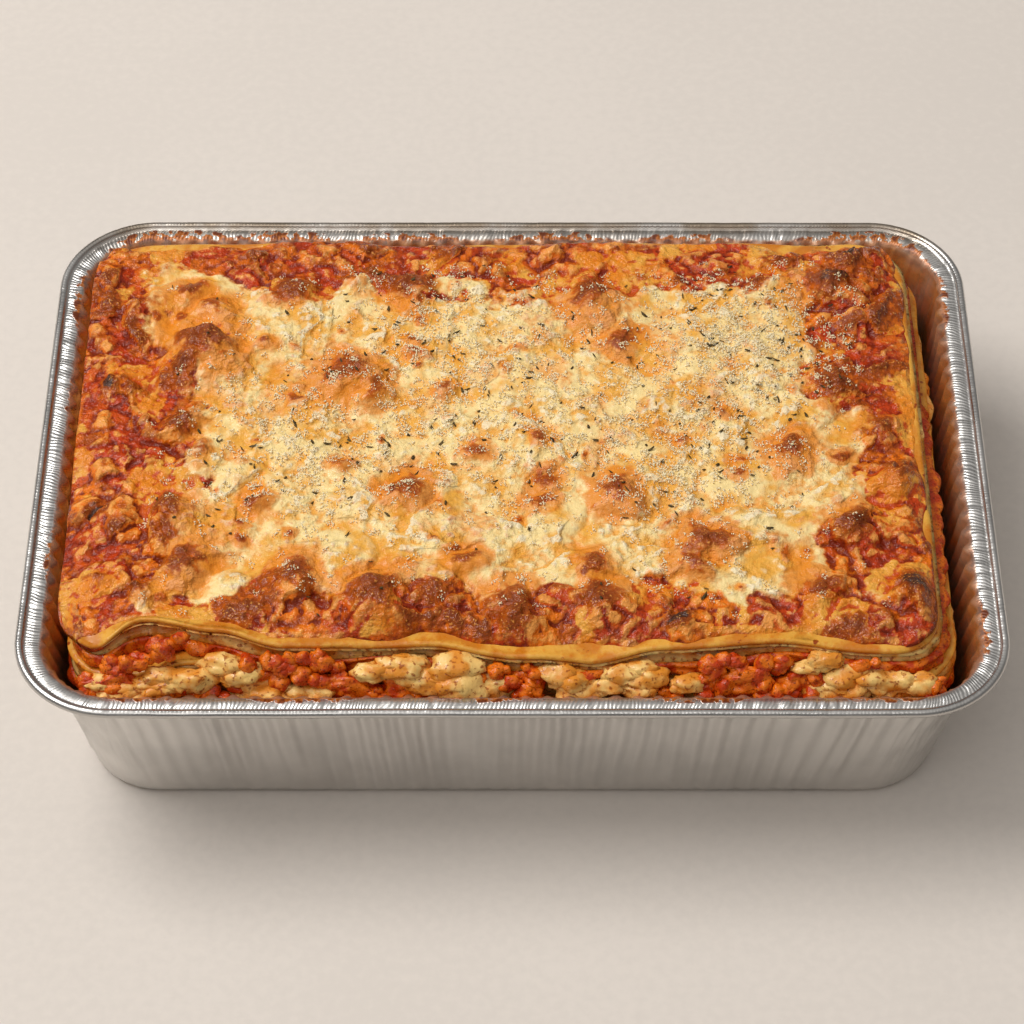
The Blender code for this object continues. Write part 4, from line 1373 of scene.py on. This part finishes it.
class LASAGNE_OT_crumbs(bpy.types.Operator):
    """Scatter grated hard cheese and dried herbs over the topping"""

    bl_idname = "lasagne.crumbs"
    bl_label = "Crumbs and Herbs"

    def execute(self, context):
        colours = settings("colours")
        topping = Topping(settings("food"))
        draw = random.Random(8)
        ball, faces = blob_points(1)

        def scatter(count, spread):
            spots = []
            while len(spots) < count:
                x, y, wide = draw.choice(CHEESE_HEAPS)
                spot = (draw.gauss(x, wide * spread), draw.gauss(y, wide * spread * 0.8))
                if abs(spot[0]) < CRUMBS_WITHIN[0] and abs(spot[1]) < CRUMBS_WITHIN[1]:
                    spots.append(spot)
            return np.array(spots)

        clumps = scatter(CLUMPS, 1.0)
        spread = [[draw.gauss(0, 0.6), draw.gauss(0, 0.6)] for _ in range(GRAINS * CLUMPS)]
        spots = np.repeat(clumps, GRAINS, axis=0) + np.array(spread) * MM
        heights, _masks = topping.surface_height(spots)
        grains = []
        for number in range(GRAIN_SHAPES):
            size = np.array([draw.uniform(0.8, 2.2), draw.uniform(0.6, 1.2), draw.uniform(0.5, 1.0)])
            grains.append(turned(knobbly(GRAIN, size, 500 + number, 0.6), draw))
        crumbs = []
        for spot, height in zip(spots, heights):
            grain = draw.choice(grains) * draw.uniform(0.11, 0.27) * MM
            crumbs.append((grain + (*spot, height + draw.uniform(0.0, 0.4) * MM), GRAIN_SIDES))
        crumb_finish = food_material(
            "Grated Cheese", colours.crumb_and_highlight, colours.crumb_and_highlight, colours.cream, 300.0, 0.5, 0.05 * MM, 0.6, 0.45
        )
        joined("grated_cheese", crumbs, crumb_finish)

        spots = scatter(HERBS, 1.15)
        heights, _masks = topping.surface_height(spots)
        flakes = []
        for number, (spot, height) in enumerate(zip(spots, heights)):
            size = np.array([draw.uniform(0.35, 1.0), draw.uniform(0.15, 0.38), 0.07]) * MM
            leaf = knobbly(ball, size, 700 + number % 30, 0.7)
            leaf[:, 2] += 0.25 * leaf[:, 0] ** 2 / size[0]
            tilt = draw.uniform(-0.4, 0.4)
            leaf = np.column_stack([leaf[:, 0], leaf[:, 1], leaf[:, 2] + tilt * leaf[:, 0]])
            turn = np.array(Matrix.Rotation(draw.uniform(0, math.tau), 3, "Z"))
            flakes.append((leaf @ turn.T + (*spot, height + 0.18 * MM), faces))
        shade = [c * 0.5 for c in colours.herb]
        herb_finish = food_material(
            "Herb", colours.herb, shade, colours.char, 1200.0, 0.3, 0.08 * MM, 0.7, 0.5
        )
        joined("herbs", flakes, herb_finish)
        return {"FINISHED"}


# ------------------------------------------------------------------ stage

FLOOR_SIZE = 6.0
ROOM_TINT = (1.0, 0.975, 0.95)
ROOM_GLOW = (0.190, 0.55)  # strength of the room's light from the sides and from overhead

# Soft lights: place, length and width, watts, tint
LIGHTS = {
    "window": ((-0.86, 0.29, 1.46), (1.15, 0.70), 19.8, (1.0, 0.985, 0.970)),
    "ceiling": ((-0.45, -0.90, 1.90), (1.20, 1.20), 5.5, (1.0, 0.985, 0.975)),
}
LIGHT_AIM = (0, 0, 0.03)
CAMERA_PLACE = (0.0, -0.5033, 0.5933)
CAMERA_TILT = math.radians(90 - 48.55)
CAMERA_LENS, CAMERA_SENSOR = 114.9, 36.0  # millimetres


class LASAGNE_OT_stage(bpy.types.Operator):
    """Make the table, the soft lights and the camera"""

    bl_idname = "lasagne.stage"
    bl_label = "Stage"

    def execute(self, context):
        scene = context.scene
        colours = settings("colours")
        bpy.ops.mesh.primitive_plane_add(size=FLOOR_SIZE, location=(0, 0, TRAY_LOW.z))
        floor = context.object
        floor.name = "table"
        material, tree, shader = new_material("Table", Roughness=0.75)
        place = node(tree, "TexCoord").outputs["Object"]
        cloud = grain_at(place, 9.0, 5.0)
        weave = grain_at(place, 420.0, 4.0)
        cloudy = step_between(plus(times(cloud, 0.5), times(weave, 0.5)), 0.38, 0.62)
        tint = mix(cloudy, [c * 0.955 for c in colours.floor], colours.floor)
        feed(shader.inputs["Base Color"], tint)
        floor.data.materials.append(material)

        world = bpy.data.worlds.new("Soft room")
        world.use_nodes = True
        sky = world.node_tree
        rise = node(sky, "SeparateXYZ", {"Vector": node(sky, "TexCoord").outputs["Generated"]}).outputs[2]
        background = sky.nodes["Background"]
        feed(background.inputs["Color"], ROOM_TINT)
        feed(background.inputs["Strength"], step_between(rise, 0.55, 0.95, *ROOM_GLOW))
        scene.world = world

        for name, (location, size, power, tint) in LIGHTS.items():
            light = bpy.data.lights.new(name, "AREA")
            light.shape = "RECTANGLE"
            light.size, light.size_y = size
            light.energy = power
            light.color = tint
            obj = bpy.data.objects.new(name, light)
            obj.location = location
            obj.rotation_euler = (Vector(LIGHT_AIM) - Vector(location)).to_track_quat("-Z", "Y").to_euler()
            scene.collection.objects.link(obj)

        camera = bpy.data.cameras.new("camera")
        camera.lens = CAMERA_LENS
        camera.sensor_width = CAMERA_SENSOR
        eye = bpy.data.objects.new("camera", camera)
        eye.location = CAMERA_PLACE
        eye.rotation_euler = (CAMERA_TILT, 0.0, 0.0)
        scene.collection.objects.link(eye)
        scene.camera = eye
        scene.view_settings.view_transform = "Standard"
        return {"FINISHED"}


# ------------------------------------------------------------------ add-on

GROUPS = {"tray": LASAGNE_PG_tray, "food": LASAGNE_PG_food, "colours": LASAGNE_PG_colours}
OPERATORS = (
    LASAGNE_OT_tray,
    LASAGNE_OT_sheets,
    LASAGNE_OT_fillings,
    LASAGNE_OT_topping,
    LASAGNE_OT_lumps,
    LASAGNE_OT_mince,
    LASAGNE_OT_crumbs,
    LASAGNE_OT_stage,
)


class LASAGNE_PT_panel(bpy.types.Panel):
    """Lists the steps that build the lasagne"""

    bl_idname = "LASAGNE_PT_panel"
    bl_label = "Lasagne in a Foil Tray"
    bl_space_type = "VIEW_3D"
    bl_region_type = "UI"
    bl_category = "Lasagne"

    def draw(self, context):
        for operator in OPERATORS:
            self.layout.operator(operator.bl_idname)
        for key in GROUPS:
            group = settings(key)
            box = self.layout.box()
            for name in group.__annotations__:
                box.prop(group, name)


CLASSES = (*GROUPS.values(), *OPERATORS, LASAGNE_PT_panel)


def register():
    for kind in CLASSES:
        bpy.utils.register_class(kind)
    for key, kind in GROUPS.items():
        setattr(bpy.types.Scene, "lasagne_" + key, PointerProperty(type=kind))


def unregister():
    for key in GROUPS:
        delattr(bpy.types.Scene, "lasagne_" + key)
    for kind in reversed(CLASSES):
        bpy.utils.unregister_class(kind)


def main():
    register()
    bpy.ops.lasagne.tray()
    bpy.ops.lasagne.sheets()
    bpy.ops.lasagne.fillings()
    bpy.ops.lasagne.topping()
    bpy.ops.lasagne.lumps()
    bpy.ops.lasagne.mince()
    bpy.ops.lasagne.crumbs()
    bpy.ops.lasagne.stage()


if __name__ == "__main__":
    main()
